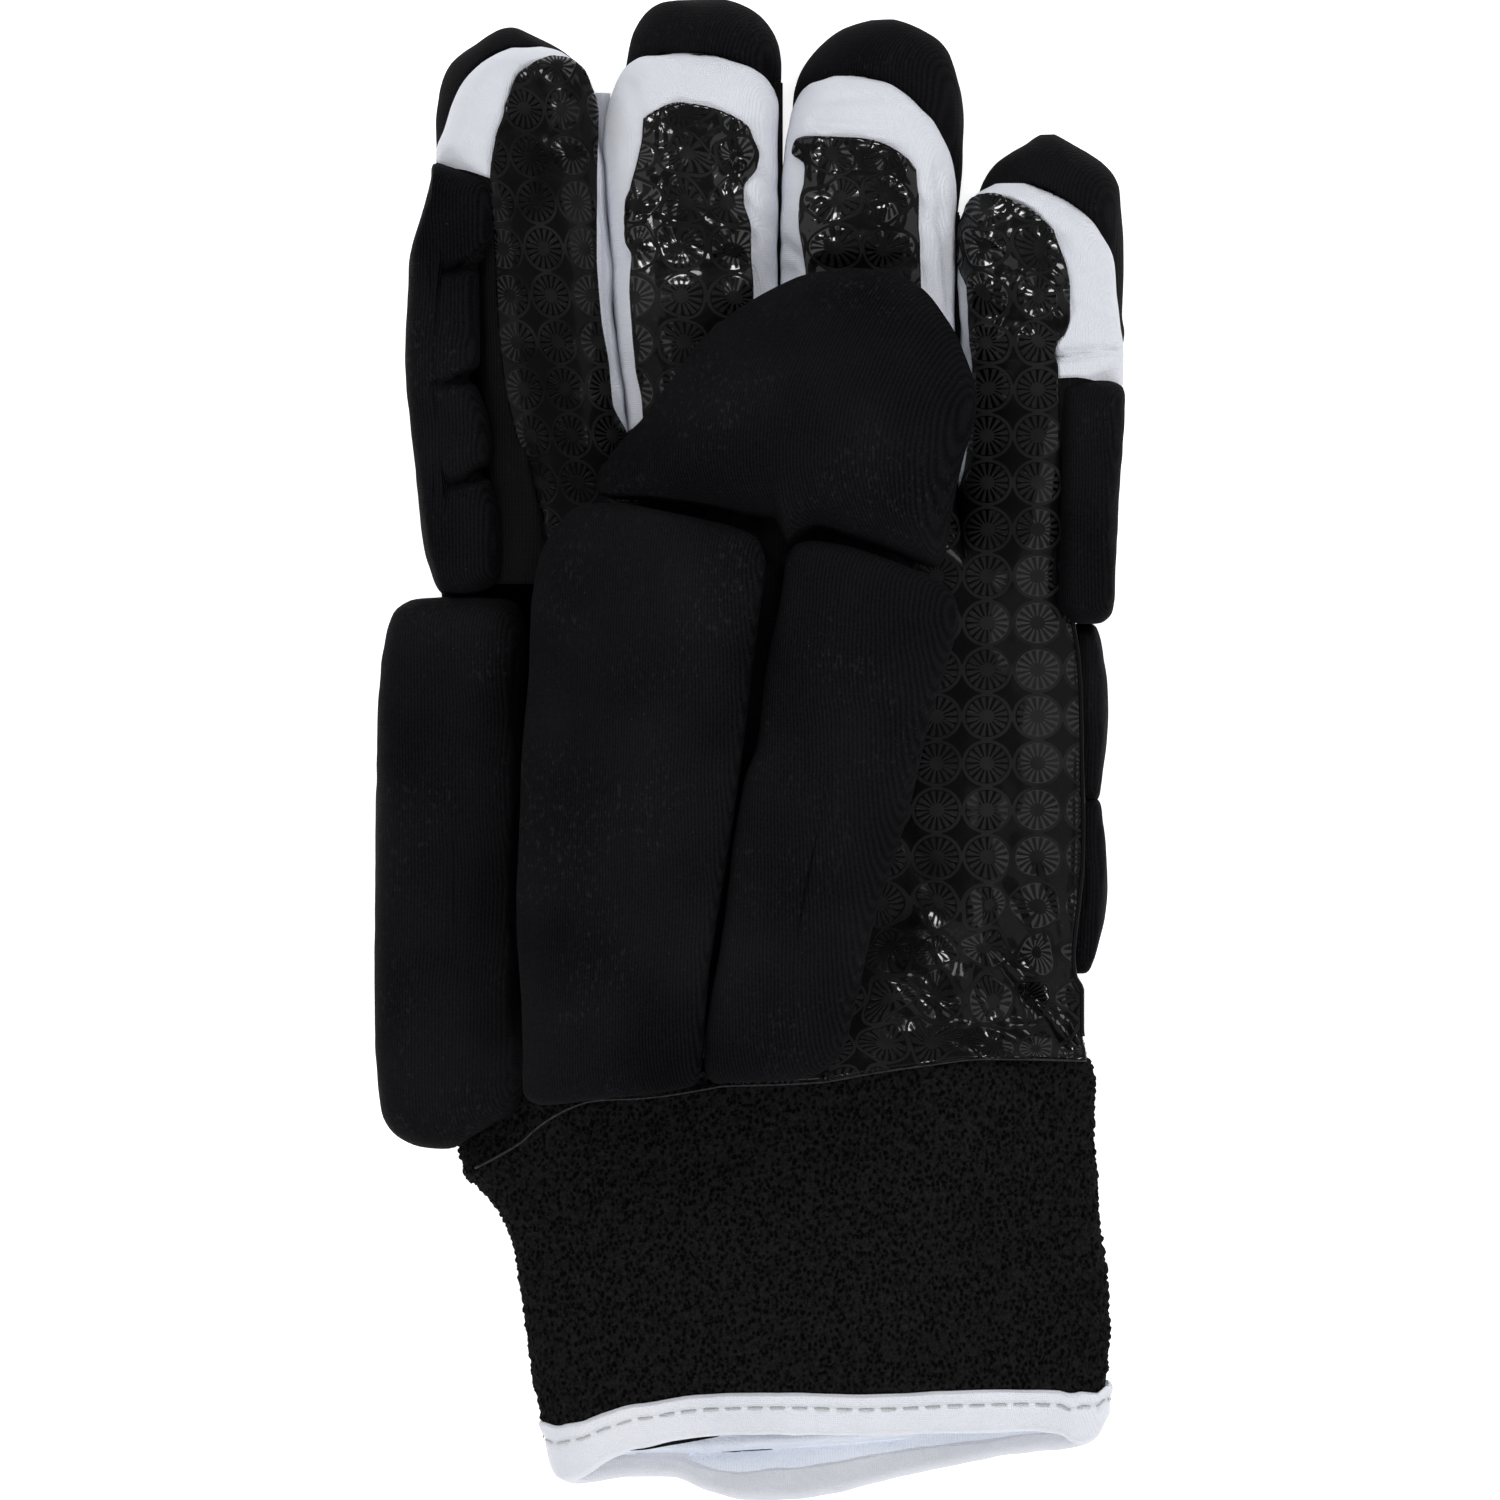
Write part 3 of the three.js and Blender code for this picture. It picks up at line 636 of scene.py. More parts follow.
# The palm and the strips on the fingers: one cut of glossy grip fabric, printed all over with a lattice of
# matt rubber wheels. It is sewn to the white stalls, the back and the cuff, and it puckers where those
# seams hold it back.
palm_edges = [  # along, left, right
    (-80, -40.5, 60.4), (-60, -40.5, 60.4), (-54.7, -40.3, 60.0), (-49.9, -40.0, 59.2), (-43.0, -39.0, 59.2),
    (-40.2, -38.8, 57.9), (-37, -38.6, 57.7), (-32, -38.4, 58.1), (-27, -38.3, 58.7), (-20, -38.2, 59.3),
    (-12.8, -38.0, 59.4), (-3.6, -38.0, 59.2), (9, -38.0, 59.0), (17, -38.0, 58.5), (24, -38.0, 57.4),
    (34, -37.8, 56.2), (45, -39.8, 55.4), (56.3, -42.0, 55.0),
]
cuff_seam = [  # across, along: the line where the hand is sewn to the cuff
    (-56, -78.0), (-49.8, -75.0), (-46.3, -73.2), (-41.5, -70.3), (-38.6, -67.7), (-36.0, -65.9),
    (-32.4, -64.0), (-29.1, -62.9), (-23.2, -61.9), (-15.8, -61.1), (-8.5, -59.9), (-4.8, -59.3),
    (3.0, -59.1), (11.5, -58.7), (21.8, -57.0), (30.1, -55.8), (41.9, -54.5), (59.4, -54.9), (64, -55.2),
]
lift = 0.55  # how far the grip fabric stands off what it is sewn to
wheel_pitch = 8.4
palm_pitch, index_pitch = 9.1, 7.3  # the same across, where the cloth is stretched, and on the index strip
wheel_start = (42.2, 23.0)  # the middle of one of the printed wheels
index_start, index_lean = (-31.05, 48), 0.15  # and of one on the index strip, where the print leans
index_column = -8  # how many wheels away its column is


def strip_grid(name, first, last, columns=48, rows=96):
    """One finger's strip: columns run up the stall's skin from the line between two crotches to the strip's
    end, and across they divide the turn between its two edges evenly."""
    share = np.linspace(0, 1, columns)[None]
    start = first[1] + (last[1] - first[1]) * share
    end = between(strip_ends[name], share)[0]
    along = start + (end - start) * np.linspace(0, 1, rows)[:, None]
    left, right, low, high = between(stalls[name], along)
    from_turn, to_turn = [turn_where_across(left, right, edge) for edge in between(grip_strips[name], along)]
    return section_point(left, right, low, high, along, from_turn + (to_turn - from_turn) * share, lift)


def crumple(points, size, seed, stretch=(1, 1, 1)):
    """Creases like those of crushed foil, 0 at their bottom to about 1: how far soft swells are from their
    middle height. stretch makes them longer one way."""
    return np.minimum(1.1 * np.abs(waves(points * np.array(stretch), size, seed)) ** 0.8, 1.3)


def bulge(reach, limit=1.0):
    """How high a superellipse stands at a share of its half width, as a share of its half height: 1 less that
    share to the power SQUARE, all to the power 1 / SQUARE. It stays level past the limit."""
    return (1 - np.minimum(np.abs(reach), limit) ** SQUARE) ** (1 / SQUARE)


def outward(grid):
    """Unit normals of a grid that faces the palm side."""
    normal = facing(grid)
    return normal * np.sign(normal[..., 2].mean())


fingers = list(stalls)
strip_grids = {name: strip_grid(name, *crotches[number : number + 2]) for number, name in enumerate(fingers)}
top_row = np.concatenate([grid[0][(number > 0) :] for number, grid in enumerate(strip_grids.values())])
top_x, top_y, top_z = top_row.T
across = (top_x - top_x[0]) / (top_x[-1] - top_x[0])
down = np.linspace(0, 1, 144)[:, None]
past_seam, under_thumb = 0.6, 9  # the palm ends past the cuff's seam, and sooner under the thumb
_, sewn_left, sewn_right = palm_edges[1]
sewn_x = sewn_left + (sewn_right - sewn_left) * across
bottom = between(cuff_seam, sewn_x)[0] - past_seam + under_thumb * rise(-3, -12, sewn_x)
along = top_y + (bottom - top_y) * down
from_x, to_x = between(palm_edges, along)
x = from_x + (to_x - from_x) * across
x[0] = top_x
left, right, low, high = between(hand, along)
reach = (x - (left + right) / 2) / ((right - left) / 2)
height = (low + high) / 2 + (high - low) / 2 * bulge(reach, limit=0.965) + lift
below = top_y - along
height = top_z + (height - top_z) * rise(0, 15, below)
palm = xyz(x, along, height)

palm_cut = palm.copy()  # as the cloth lies before it puckers, with its sides laid flat
pucker_rows = (-16, -36)  # along: where the puckers start, and where they are full
puckered = rise(*pucker_rows, palm[..., 1]) * rise(14, 24, palm[..., 0])
held = rise(0, 5, below) * rise(0, 3, x - x[:, :1]) * rise(0, 3, x[:, -1:] - x)  # 0 along its seams
slanted = palm @ np.array([[0.72, -0.69, 0], [0.69, 0.72, 0], [0, 0, 1]])  # turned to run along the puckers
palm_folds = [  # start, end, depth at both and width
    ((45.6, -37.0), (51.0, -43.6), 0.7, 2.4, 1.6),
    ((51.0, -43.6), (58.8, -53.6), 2.4, 1.8, 1.4),
    ((31.0, -31.0), (37.0, -38.0), -1.3, -0.9, 2.0),
    ((24.0, -36.0), (33.0, -47.0), 1.0, 1.2, 1.9),
    ((24.0, -50.6), (52.0, -49.6), 0.4, 0.8, 1.4),
    ((20.0, -20.0), (27.0, 2.0), 0.9, 0.9, 3.0),
    ((26.0, -12.0), (33.0, -24.0), 0.8, 0.5, 2.0),
    ((50.0, -20.0), (55.0, -38.0), 0.3, 0.7, 1.7),
]
coarse = crumple(slanted, 9, seed=61, stretch=(1, 0.45, 1))
fine = crumple(slanted, 4, seed=62, stretch=(1, 0.5, 1))
relief = puckered * (0.6 * coarse + 0.3 * fine - 0.4)
relief += 0.13 * waves(palm, 15, 63) + 0.04 * waves(palm, 4, 64)
relief -= sum(dent(palm, *fold) for fold in palm_folds)
palm += outward(palm) * (relief * held)[..., None]
palm_rim = palm[:, -1].copy()
drop = np.linspace(0.1, 1, 8)[None, :, None]  # shares of the way down the palm's side walls
wall_long, wall_lean, wall_bow = 12.0, 0.6, 0.5
walls, flat_walls = [], []
for edge, side in ((0, -1), (-1, 1)):
    rim = palm[:, edge, None]
    foot = rim + xyz(-side * wall_lean, 0, seam_height - 1.5 - rim[..., 2])
    bow = np.array([side * wall_bow, 0, 0]) * np.sin(math.pi * drop)
    walls.append(rim + (foot - rim) * drop + bow)
    flat_walls.append(palm_cut[:, edge, None] + drop * (side * wall_long, 0, 0))
palm = np.concatenate([walls[0][:, ::-1], palm, walls[1]], axis=1)
palm_cut = np.concatenate([flat_walls[0][:, ::-1], palm_cut, flat_walls[1]], axis=1)

crushed = {  # along, height: how strongly each strip is crushed from its root to its end
    "index": [(60, 0.0), (92, 0.04), (104, 0.12), (112, 0.4), (124, 0.35)],
    "middle": [(60, 0.25), (80, 0.3), (88, 0.15), (92, 0.7), (104, 0.9), (116, 0.6)],
    "ring": [(60, 0.2), (86, 0.15), (90, 0.55), (100, 0.85), (110, 0.65)],
    "little": [(50, 0.0), (66, 0.12), (74, 0.5), (90, 0.75), (99, 0.5)],
}
strip_folds = {  # start, end, depth at both and width
    "index": [((-43, 112), (-30, 109), 0.3, 0.6, 1.5)],
    "middle": [
        ((-24, 89.6), (-12, 86.8), 0.8, 0.9, 2.2), ((-14, 86.2), (2, 88.6), 0.8, 0.9, 2.4),
        ((-9, 104), (0, 101), 0.3, 0.9, 1.6), ((-20, 96.5), (-12, 99.5), 0.5, 0.4, 1.3),
    ],
    "ring": [((8, 86.4), (22, 85.6), 0.9, 0.9, 2.4), ((18, 86.6), (31, 88.6), 0.8, 0.7, 2.2)],
    "little": [((39, 79.0), (56, 76.0), 0.7, 0.9, 2.0), ((40, 91.0), (50, 84.0), 0.4, 0.7, 1.6)],
}
strip_cuts = [grid.copy() for grid in strip_grids.values()]
for number, (name, grid) in enumerate(strip_grids.items()):
    amount = between(crushed[name], grid[..., 1])[0]
    coarse, fine = crumple(grid, 8.0, seed=71 + number), crumple(grid, 3.6, seed=81 + number)
    relief = amount * (0.6 * coarse + 0.36 * fine - 0.3)
    relief += 0.05 * waves(grid, 5, 91 + number) - sum(dent(grid, *fold) for fold in strip_folds[name])
    share = np.linspace(0, 1, grid.shape[1])
    inward = rise(0, 0.14, np.minimum(share, 1 - share))
    loose = rise(0, 6, grid[..., 1] - grid[:1, :, 1]) * (0.3 + 0.7 * inward)
    grid += outward(grid) * (relief * loose)[..., None]


def lattice(points, folded):
    """Where points of the cut cloth lie on the printed lattice, in millimetres from a wheel's middle. The
    cloth is stretched across the palm, while on the index finger the print leans with it and is narrower.
    folded says how much small folds swallow parts of the print."""
    x, y = points[..., 0], points[..., 1]
    palm_u = (x - wheel_start[0]) * wheel_pitch / palm_pitch
    leaning_x = x - index_start[0] + index_lean * (y - index_start[1])
    index_u = index_column * wheel_pitch + leaning_x * wheel_pitch / index_pitch
    on_index = rise(26, 44, y) * rise(-22.5, -23.5, x)
    u = palm_u + (index_u - palm_u) * on_index
    shift = 1.1 * np.stack([waves(points, 9, 65), waves(points, 9, 66)], axis=-1)
    return np.stack([u, y - wheel_start[1]], axis=-1) + shift * folded[..., None]


def band(tree, value, middle, half, soft):
    """1 within half of the middle, fading out over soft."""
    apart = maths(tree, "ABSOLUTE", maths(tree, "SUBTRACT", value, middle))
    return soft_step(tree, apart, half + soft, half)


spokes = 16
rim_at, rim_half, hub_half = 0.468, 0.026, 0.13  # radii and half widths in a wheel are shares of the pitch
slots_at, slots_half, well_radius = 0.27, 0.125, 0.46
bridge_half_long, bridge_half_wide = 0.035, 0.1
wheels, given, result = effect(
    "printed wheels", {"Place": "Vector", "Pitch": "Float"}, ["Ink", "Relief", "Well"]
)
parts = add(wheels, "ShaderNodeSeparateXYZ", {0: given["Place"]}).outputs
cells = [maths(wheels, "DIVIDE", parts[axis], given["Pitch"]) for axis in range(2)]
local = [maths(wheels, "SUBTRACT", cell, maths(wheels, "ROUND", cell)) for cell in cells]
square = maths(wheels, "MULTIPLY_ADD", local[1], local[1], maths(wheels, "MULTIPLY", local[0], local[0]))
radius = maths(wheels, "SQRT", square)
angle = maths(wheels, "ARCTAN2", local[1], local[0])
rim = band(wheels, radius, rim_at, rim_half, 0.014)
hub = band(wheels, radius, 0.0, hub_half, 0.03)
turns = maths(wheels, "COSINE", maths(wheels, "MULTIPLY", angle, spokes))  # 1 in the middle of a slot
in_slots = band(wheels, radius, slots_at, slots_half, 0.035)
spoke = maths(wheels, "MULTIPLY", soft_step(wheels, turns, 0.4, -0.3), in_slots)
round_spoke = maths(wheels, "MULTIPLY", soft_step(wheels, turns, 1.0, -0.7), in_slots)
bridges = []
for long, wide in (local, local[::-1]):
    at_border = band(wheels, maths(wheels, "ABSOLUTE", long), 0.5, bridge_half_long, 0.02)
    bridges.append(maths(wheels, "MULTIPLY", at_border, band(wheels, wide, 0.0, bridge_half_wide, 0.02)))
solid = maths(wheels, "MAXIMUM", maths(wheels, "MAXIMUM", rim, hub), maths(wheels, "MAXIMUM", *bridges))
ink = maths(wheels, "MAXIMUM", solid, spoke)
wheels.links.new(ink, result.inputs["Ink"])
wheels.links.new(maths(wheels, "MAXIMUM", solid, round_spoke), result.inputs["Relief"])
in_wheel = soft_step(wheels, radius, well_radius, well_radius - 0.04)
wheels.links.new(maths(wheels, "SUBTRACT", in_wheel, ink), result.inputs["Well"])

grip_fabric, tree, surface = finish(
    "printed grip fabric", specular_ior_level=0.06, coat_roughness=0.1, coat_ior=1.5
)
base, gloss = surface.inputs["Base Color"], surface.inputs["Coat Weight"]
cloth = add(tree, "ShaderNodeUVMap", uv_map="cloth").outputs[0]
printed = add(tree, "ShaderNodeGroup", node_tree=wheels)
tree.links.new(cloth, printed.inputs["Place"])
printed.inputs["Pitch"].default_value = wheel_pitch
ink, well = printed.outputs["Ink"], printed.outputs["Well"]
place = millimetres(tree)
apart = add(tree, "ShaderNodeSeparateXYZ", {0: place}).outputs
x, y = apart["X"], apart["Y"]
low_crush = maths(tree, "MULTIPLY", soft_step(tree, y, -12, -32), soft_step(tree, x, 14, 26))
tip_crush = maths(tree, "MULTIPLY", soft_step(tree, y, 74, 92), soft_step(tree, x, -30, -20))
crush = maths(tree, "MAXIMUM", low_crush, tip_crush)  # here the film cracks and the ink fades
index_worn = soft_step(tree, x, -22, -34)  # here the ink is worn and the wells between its spokes are dull
fade = maths(tree, "MAXIMUM", crush, maths(tree, "MULTIPLY", index_worn, 1.3))
worn = maths(tree, "SUBTRACT", cloudy(tree, place, 0.09, 3.0), maths(tree, "MULTIPLY", fade, 0.16))
mottle = cloudy(tree, place, 1.6, 3.0)
shade = maths(tree, "MULTIPLY_ADD", well, -0.14, 0.16)
amount = maths(tree, "MULTIPLY_ADD", ink, maths(tree, "MULTIPLY_ADD", worn, 2.2, -0.42), shade)
tree.links.new(tint(tree, amount, (0.0004, 0.0004, 0.0005), (0.0145, 0.0145, 0.015)), base)
rough = maths(tree, "MULTIPLY_ADD", ink, 0.34, maths(tree, "MULTIPLY_ADD", well, -0.16, 0.34))
tree.links.new(maths(tree, "MULTIPLY_ADD", mottle, 0.06, rough), surface.inputs["Roughness"])
well_film = maths(tree, "MULTIPLY", well, maths(tree, "MULTIPLY_ADD", index_worn, -0.35, 0.7))
film = maths(tree, "ADD", well_film, maths(tree, "MULTIPLY_ADD", mottle, 0.08, 0.04))
low_film, tip_film = maths(tree, "MULTIPLY", low_crush, 0.1), maths(tree, "MULTIPLY", tip_crush, 0.6)
film = maths(tree, "ADD", film, maths(tree, "MAXIMUM", low_film, tip_film))
tree.links.new(maths(tree, "MULTIPLY", film, maths(tree, "MULTIPLY_ADD", ink, -0.9, 1.0)), gloss)
raised = maths(tree, "MULTIPLY_ADD", printed.outputs["Relief"], 0.08, maths(tree, "MULTIPLY", mottle, 0.05))
cracks = maths(tree, "MULTIPLY", cloudy(tree, place, 0.95), maths(tree, "MULTIPLY_ADD", crush, 0.12, 0.05))
raise_by(tree, surface, maths(tree, "ADD", raised, cracks))

piping_radius = 0.42
piping_path = palm_rim[(palm_rim[:, 1] < 38) & (palm_rim[:, 1] > -52)] + np.array([0.15, 0, -0.1])
piping = cord(piping_path, piping_radius)
grids = [palm, *strip_grids.values(), piping]
flat = [lattice(palm_cut, rise(*pucker_rows, palm_cut[..., 1]))]
flat += [lattice(cut, between(crushed[name], cut[..., 1])[0]) for name, cut in zip(fingers, strip_cuts)]
flat.append(np.full((*piping.shape[:2], 2), 0.5 * wheel_pitch))
grip = piece("grip_fabric", grids, maps=flat)
thicken(grip, "backing", 0.7)
fit(grip, grip_fabric, "palm_grip_panel")

# The pads beside the index and the little finger and along the palm's edge, and the long one beside the
# hand: foam moulded in blocks, covered with black neoprene and sewn to the back along its edges and in the
# grooves between them.
neoprene = jersey_finish(
    "black neoprene", 0.62, (0.001, 0.001, 0.0015), (0.0076, 0.0076, 0.0086), fleck=(0.024, 0.024, 0.027),
    roughness=0.9, specular_ior_level=0.04,
)


def outline(corners, count):
    """A closed smooth curve through corners, as points spaced evenly along it. At a corner it runs the mean
    way of the two chords there, and the shorter of them sets how fast it bends."""
    corners = np.array(corners, float)
    chord = np.roll(corners, -1, 0) - corners
    long = np.linalg.norm(chord, axis=1, keepdims=True)
    slope, before = chord / long, np.roll(chord / long, 1, 0)
    long_before = np.roll(long, 1, 0)
    way = (before * long + slope * long_before) / (long + long_before) * np.minimum(long, long_before)
    t = np.linspace(0, 1, 24, endpoint=False)[:, None, None]
    curve = bend(corners, corners + chord, way, np.roll(way, -1, 0), t)
    curve = np.moveaxis(curve, 0, 1).reshape(-1, 2)
    curve = np.concatenate([curve, curve[:1]])
    length = np.concatenate([[0], np.cumsum(np.linalg.norm(np.diff(curve, axis=0), axis=1))])
    at = np.linspace(0, length[-1], count, endpoint=False)
    return np.stack([np.interp(at, length, curve[:, axis]) for axis in range(2)], axis=-1)


def level(z):
    """A height that is the same everywhere."""
    return lambda x, y: z + 0 * x


def cushion(corners, core, low, high, around=240, over=44, under=16, fold=4.0):
    """A cushion over an outline, as rings of points from the middle of its underside, over its edge, to the
    middle of its top. Out by the sine of a quarter turn, it is as thick as 1 less that sine to the power
    fold, to the power 1 / fold, and its rings shrink towards the two-point line core."""
    rim = outline(corners, around)
    start, end = np.array(core, float)
    way = end - start
    share = np.clip((rim - start) @ way / (way @ way), 0, 1)[:, None]
    nearest, middle = start + share * way, (start + end) / 2
    out = np.concatenate([
        np.sin(np.linspace(0, math.pi / 2, under, endpoint=False)),
        np.sin(np.linspace(math.pi / 2, 0, over)),
    ])[:, None, None]
    up = (1 - out**fold) ** (1 / fold) * np.where(np.arange(under + over) < under, -1, 1)[:, None, None]
    spread = 1 - (1 - out) ** 10
    flat = middle + (nearest - middle) * spread + (rim - nearest) * out
    x, y = np.moveaxis(flat, -1, 0)
    bottom, top = low(x, y), high(x, y)
    return xyz(x, y, (bottom + top) / 2 + (top - bottom) / 2 * up[..., 0])


def sculpt(grid, grooves=(), seed=0, swell=0.3, size=24):
    """A cushion pressed in along its grooves, each a start, an end, depths there and a width, and gently
    uneven."""
    out = facing(grid, wrap=True)
    out *= np.sign(out[-4:, :, 2].mean())  # a cushion's last rings lie on its top
    pressed = np.max([np.zeros(grid.shape[:2])] + [dent(grid, *groove) for groove in grooves], axis=0)
    uneven = swell * waves(grid, size, seed) + 0.12 * swell * waves(grid, 5, seed + 1)
    top = rise(-0.2, 0.5, out[..., 2])
    return grid + out * (uneven - pressed * top)[..., None]


def pad(name, node, grids):
    """A padded piece in neoprene that stands in for a CAD node."""
    made = piece(name, grids, wrap=True)
    fit(made, neoprene, node)


index_side = [  # across, along
    (-57.0, 105.2), (-52.0, 104.3), (-47.4, 102.6), (-46.4, 98.0), (-46.4, 91.5), (-47.2, 88.8),
    (-48.8, 87.2), (-48.9, 84.8), (-48.6, 80.0), (-48.4, 72.0), (-48.9, 69.2), (-50.2, 67.3),
    (-49.2, 64.9), (-47.6, 60.5), (-46.6, 54.5), (-46.9, 52.0), (-48.2, 50.2), (-46.8, 48.2),
    (-45.2, 43.0), (-44.8, 35.0), (-45.4, 30.4), (-48.6, 28.3), (-55.5, 28.3), (-58.1, 34.0),
    (-60.4, 47.5), (-61.8, 62.0), (-62.2, 80.0), (-61.6, 90.0), (-59.1, 96.6), (-58.0, 99.8),
    (-57.2, 103.2),
]
index_grooves = [
    ((-58.2, 85.7), (-54.0, 86.3), 0.2, 3.0, 0.8), ((-54.0, 86.3), (-49.5, 87.4), 3.0, 3.6, 0.9),
    ((-49.5, 87.4), (-46.6, 90.3), 3.6, 2.6, 1.0),
    ((-58.0, 65.7), (-54.0, 66.2), 0.2, 2.6, 0.8), ((-54.0, 66.2), (-48.6, 67.5), 2.6, 3.4, 0.9),
    ((-57.4, 47.3), (-53.0, 48.0), 0.2, 2.4, 0.8), ((-53.0, 48.0), (-46.4, 50.4), 2.4, 3.2, 0.9),
]
finger_low, index_high, little_high = level(14.8), level(37.4), level(36.0)
index_core = ((-57.6, 96), (-56.6, 38))
index_pad = cushion(index_side, index_core, finger_low, index_high, around=480, over=42)
pad("index_side_cushion", "index_side_pad", [sculpt(index_pad, index_grooves, seed=101)])

little_side = [
    (55.6, 66.2), (60.6, 66.6), (66.3, 65.2), (66.6, 61.0), (66.1, 48.8), (65.5, 34.4), (65.3, 27.2),
    (64.6, 24.6), (63.0, 23.3), (58.0, 23.4), (55.4, 25.5), (55.6, 40.0),
]
little_core = ((60.5, 60), (60, 29))
little_pad = cushion(little_side, little_core, finger_low, little_high, around=160, over=32)
pad("little_side_cushion", "little_side_pad", [sculpt(little_pad, seed=111)])

palm_edge_blocks = [
    [
        (57.2, 22.6), (61.6, 22.6), (63.6, 15.5), (64.2, 9.2), (63.8, 0.2), (62.9, -6.0), (62.2, -8.6),
        (57.2, -8.9),
    ],
    [
        (57.2, -8.7), (62.2, -8.8), (63.1, -12.8), (63.8, -17.0), (64.1, -21.4), (63.5, -30.4), (61.7, -37.6),
        (60.4, -39.9), (57.2, -39.8),
    ],
]
edge_x, edge_low, edge_high = 60.4, level(9.2), level(27.4)
edge_pads = []
for block in palm_edge_blocks:
    core = ((edge_x, block[0][1] - 4), (edge_x, block[-1][1] + 4))
    edge_pad = cushion(block, core, edge_low, edge_high, around=150, over=32)
    edge_pads.append(sculpt(edge_pad, seed=121))
pad("palm_edge_cushions", "palm_edge_pad", edge_pads)

hand_side = [
    (-56.2, 28.0), (-61.6, 27.6), (-64.6, 25.6), (-65.9, 22.4), (-66.7, 17.5), (-67.4, 8.6), (-67.7, -0.4),
    (-67.9, -25.7), (-67.9, -52.7), (-67.4, -60.7), (-66.6, -65.8), (-64.4, -68.9), (-61.0, -70.6),
    (-56.7, -71.2), (-53.5, -70.9), (-50.9, -69.1), (-46.4, -66.6), (-43.2, -64.8), (-41.3, -61.0),
    (-40.6, -50.0), (-40.4, -20.0), (-40.4, 5.0), (-40.6, 22.0), (-42.5, 26.6), (-47.0, 27.6),
]
side_core, side_low, side_high = ((-54, 16), (-54, -56)), level(7.5), level(38.4)
side_pad = cushion(hand_side, side_core, side_low, side_high, around=220, over=40, fold=4.5)
side_grooves = [((-56, -59.4), (-43, -58.0), 0.12, 0.35, 0.8), ((-41.5, -50), (-41.5, 18), 0.7, 0.7, 1.6)]
pad("hand_side_cushion", "hand_side_pad", [sculpt(side_pad, side_grooves, 131, swell=0.4, size=34)])

# The fingertip caps: neoprene over foam, folded round the stalls' ends from the back and sewn to them. On
# the palm side a cap's edge follows the end of the white.
caps = {  # along, left, right
    "index": [
        (104.4, -56.7, -28.6), (108.4, -57.0, -28.8), (112.9, -57.1, -29.4), (118.6, -56.4, -30.4),
        (121.0, -55.7, -31.0), (123.7, -54.3, -31.8), (126.0, -52.0, -33.8), (127.6, -49.8, -36.2),
        (128.9, -48.1, -39.1), (129.7, -46.7, -41.0), (130.2, -45.5, -42.2), (130.4, -44.6, -43.0),
    ],
    "middle": [
        (98.4, -25.2, 4.9), (116.8, -24.4, 5.0), (123.8, -22.7, 5.1), (126.6, -22.3, 4.9),
        (129.0, -21.8, 4.3), (131.0, -20.9, 3.3), (132.6, -19.8, 2.1), (133.9, -18.4, 0.5),
        (135.0, -16.4, -2.0), (135.7, -13.6, -5.0),
    ],
    "ring": [
        (94.4, 6.0, 36.9), (101.0, 6.5, 37.5), (112.0, 7.1, 38.1), (118.2, 7.6, 37.8), (121.0, 8.4, 37.3),
        (125.5, 10.9, 35.8), (128.0, 13.0, 33.9), (130.0, 15.7, 30.9), (131.3, 18.8, 28.0),
        (132.0, 21.4, 25.8),
    ],
    "little": [
        (71.3, 38.5, 66.8), (75.5, 38.5, 67.4), (78.7, 38.5, 66.9), (91.6, 39.0, 67.0), (96.2, 40.1, 66.8),
        (101.2, 41.3, 66.3), (103.5, 42.3, 65.4), (106.0, 44.0, 63.4), (108.0, 46.6, 60.7),
        (109.5, 49.4, 57.8), (110.5, 50.9, 55.8), (111.1, 52.1, 54.6),
    ],
}
cap_low, cap_high = 0.2, 28.0  # heights
tip_round, tip_power, root_round = 12.0, 2.4, 2.0  # how far from its ends a cap rounds off
cap_sunk = 1.2  # how far a cap lies under the white where it is sewn to it
for number, (name, rows) in enumerate(caps.items()):
    start, tip = rows[0][0], rows[-1][0]
    along, turn = closing(start, tip, 84), full_turn(112)
    left, right = between(rows, along)
    thick = (1 - np.clip(1 - (tip - along + 0.1) / tip_round, 0, 1) ** tip_power) ** (1 / tip_power)
    thick *= (1 - np.clip(1 - (along - start + 0.05) / root_round, 0, 1) ** 2) ** 0.5
    middle, half = (cap_low + cap_high) / 2, (cap_high - cap_low) / 2 * thick
    cap = section_point(left, right, middle - half, middle + half, along, turn)
    stall_left, stall_right, stall_low, stall_high = between(stalls[name], cap[..., 1])
    reach = np.abs(cap[..., 0] - (stall_left + stall_right) / 2) / ((stall_right - stall_left) / 2)
    reach = np.where(cap[..., 1] > stalls[name][-1][0], 2, reach)
    skin = (stall_low + stall_high) / 2 + (stall_high - stall_low) / 2 * bulge(reach) - cap_sunk
    beside = rise(0.93, 1.0, reach)
    palm_side = rise(0.0, 0.3, np.sin(turn))
    cap[..., 2] += (np.minimum(skin, cap[..., 2]) - cap[..., 2]) * (1 - beside) * palm_side
    cap = closed(cap)
    cap += facing(cap, wrap=True) * (0.22 * waves(cap, 13, 141 + number))[..., None]
    pad(f"{name}_tip_cushion", f"{name}_tip_cap", [cap])

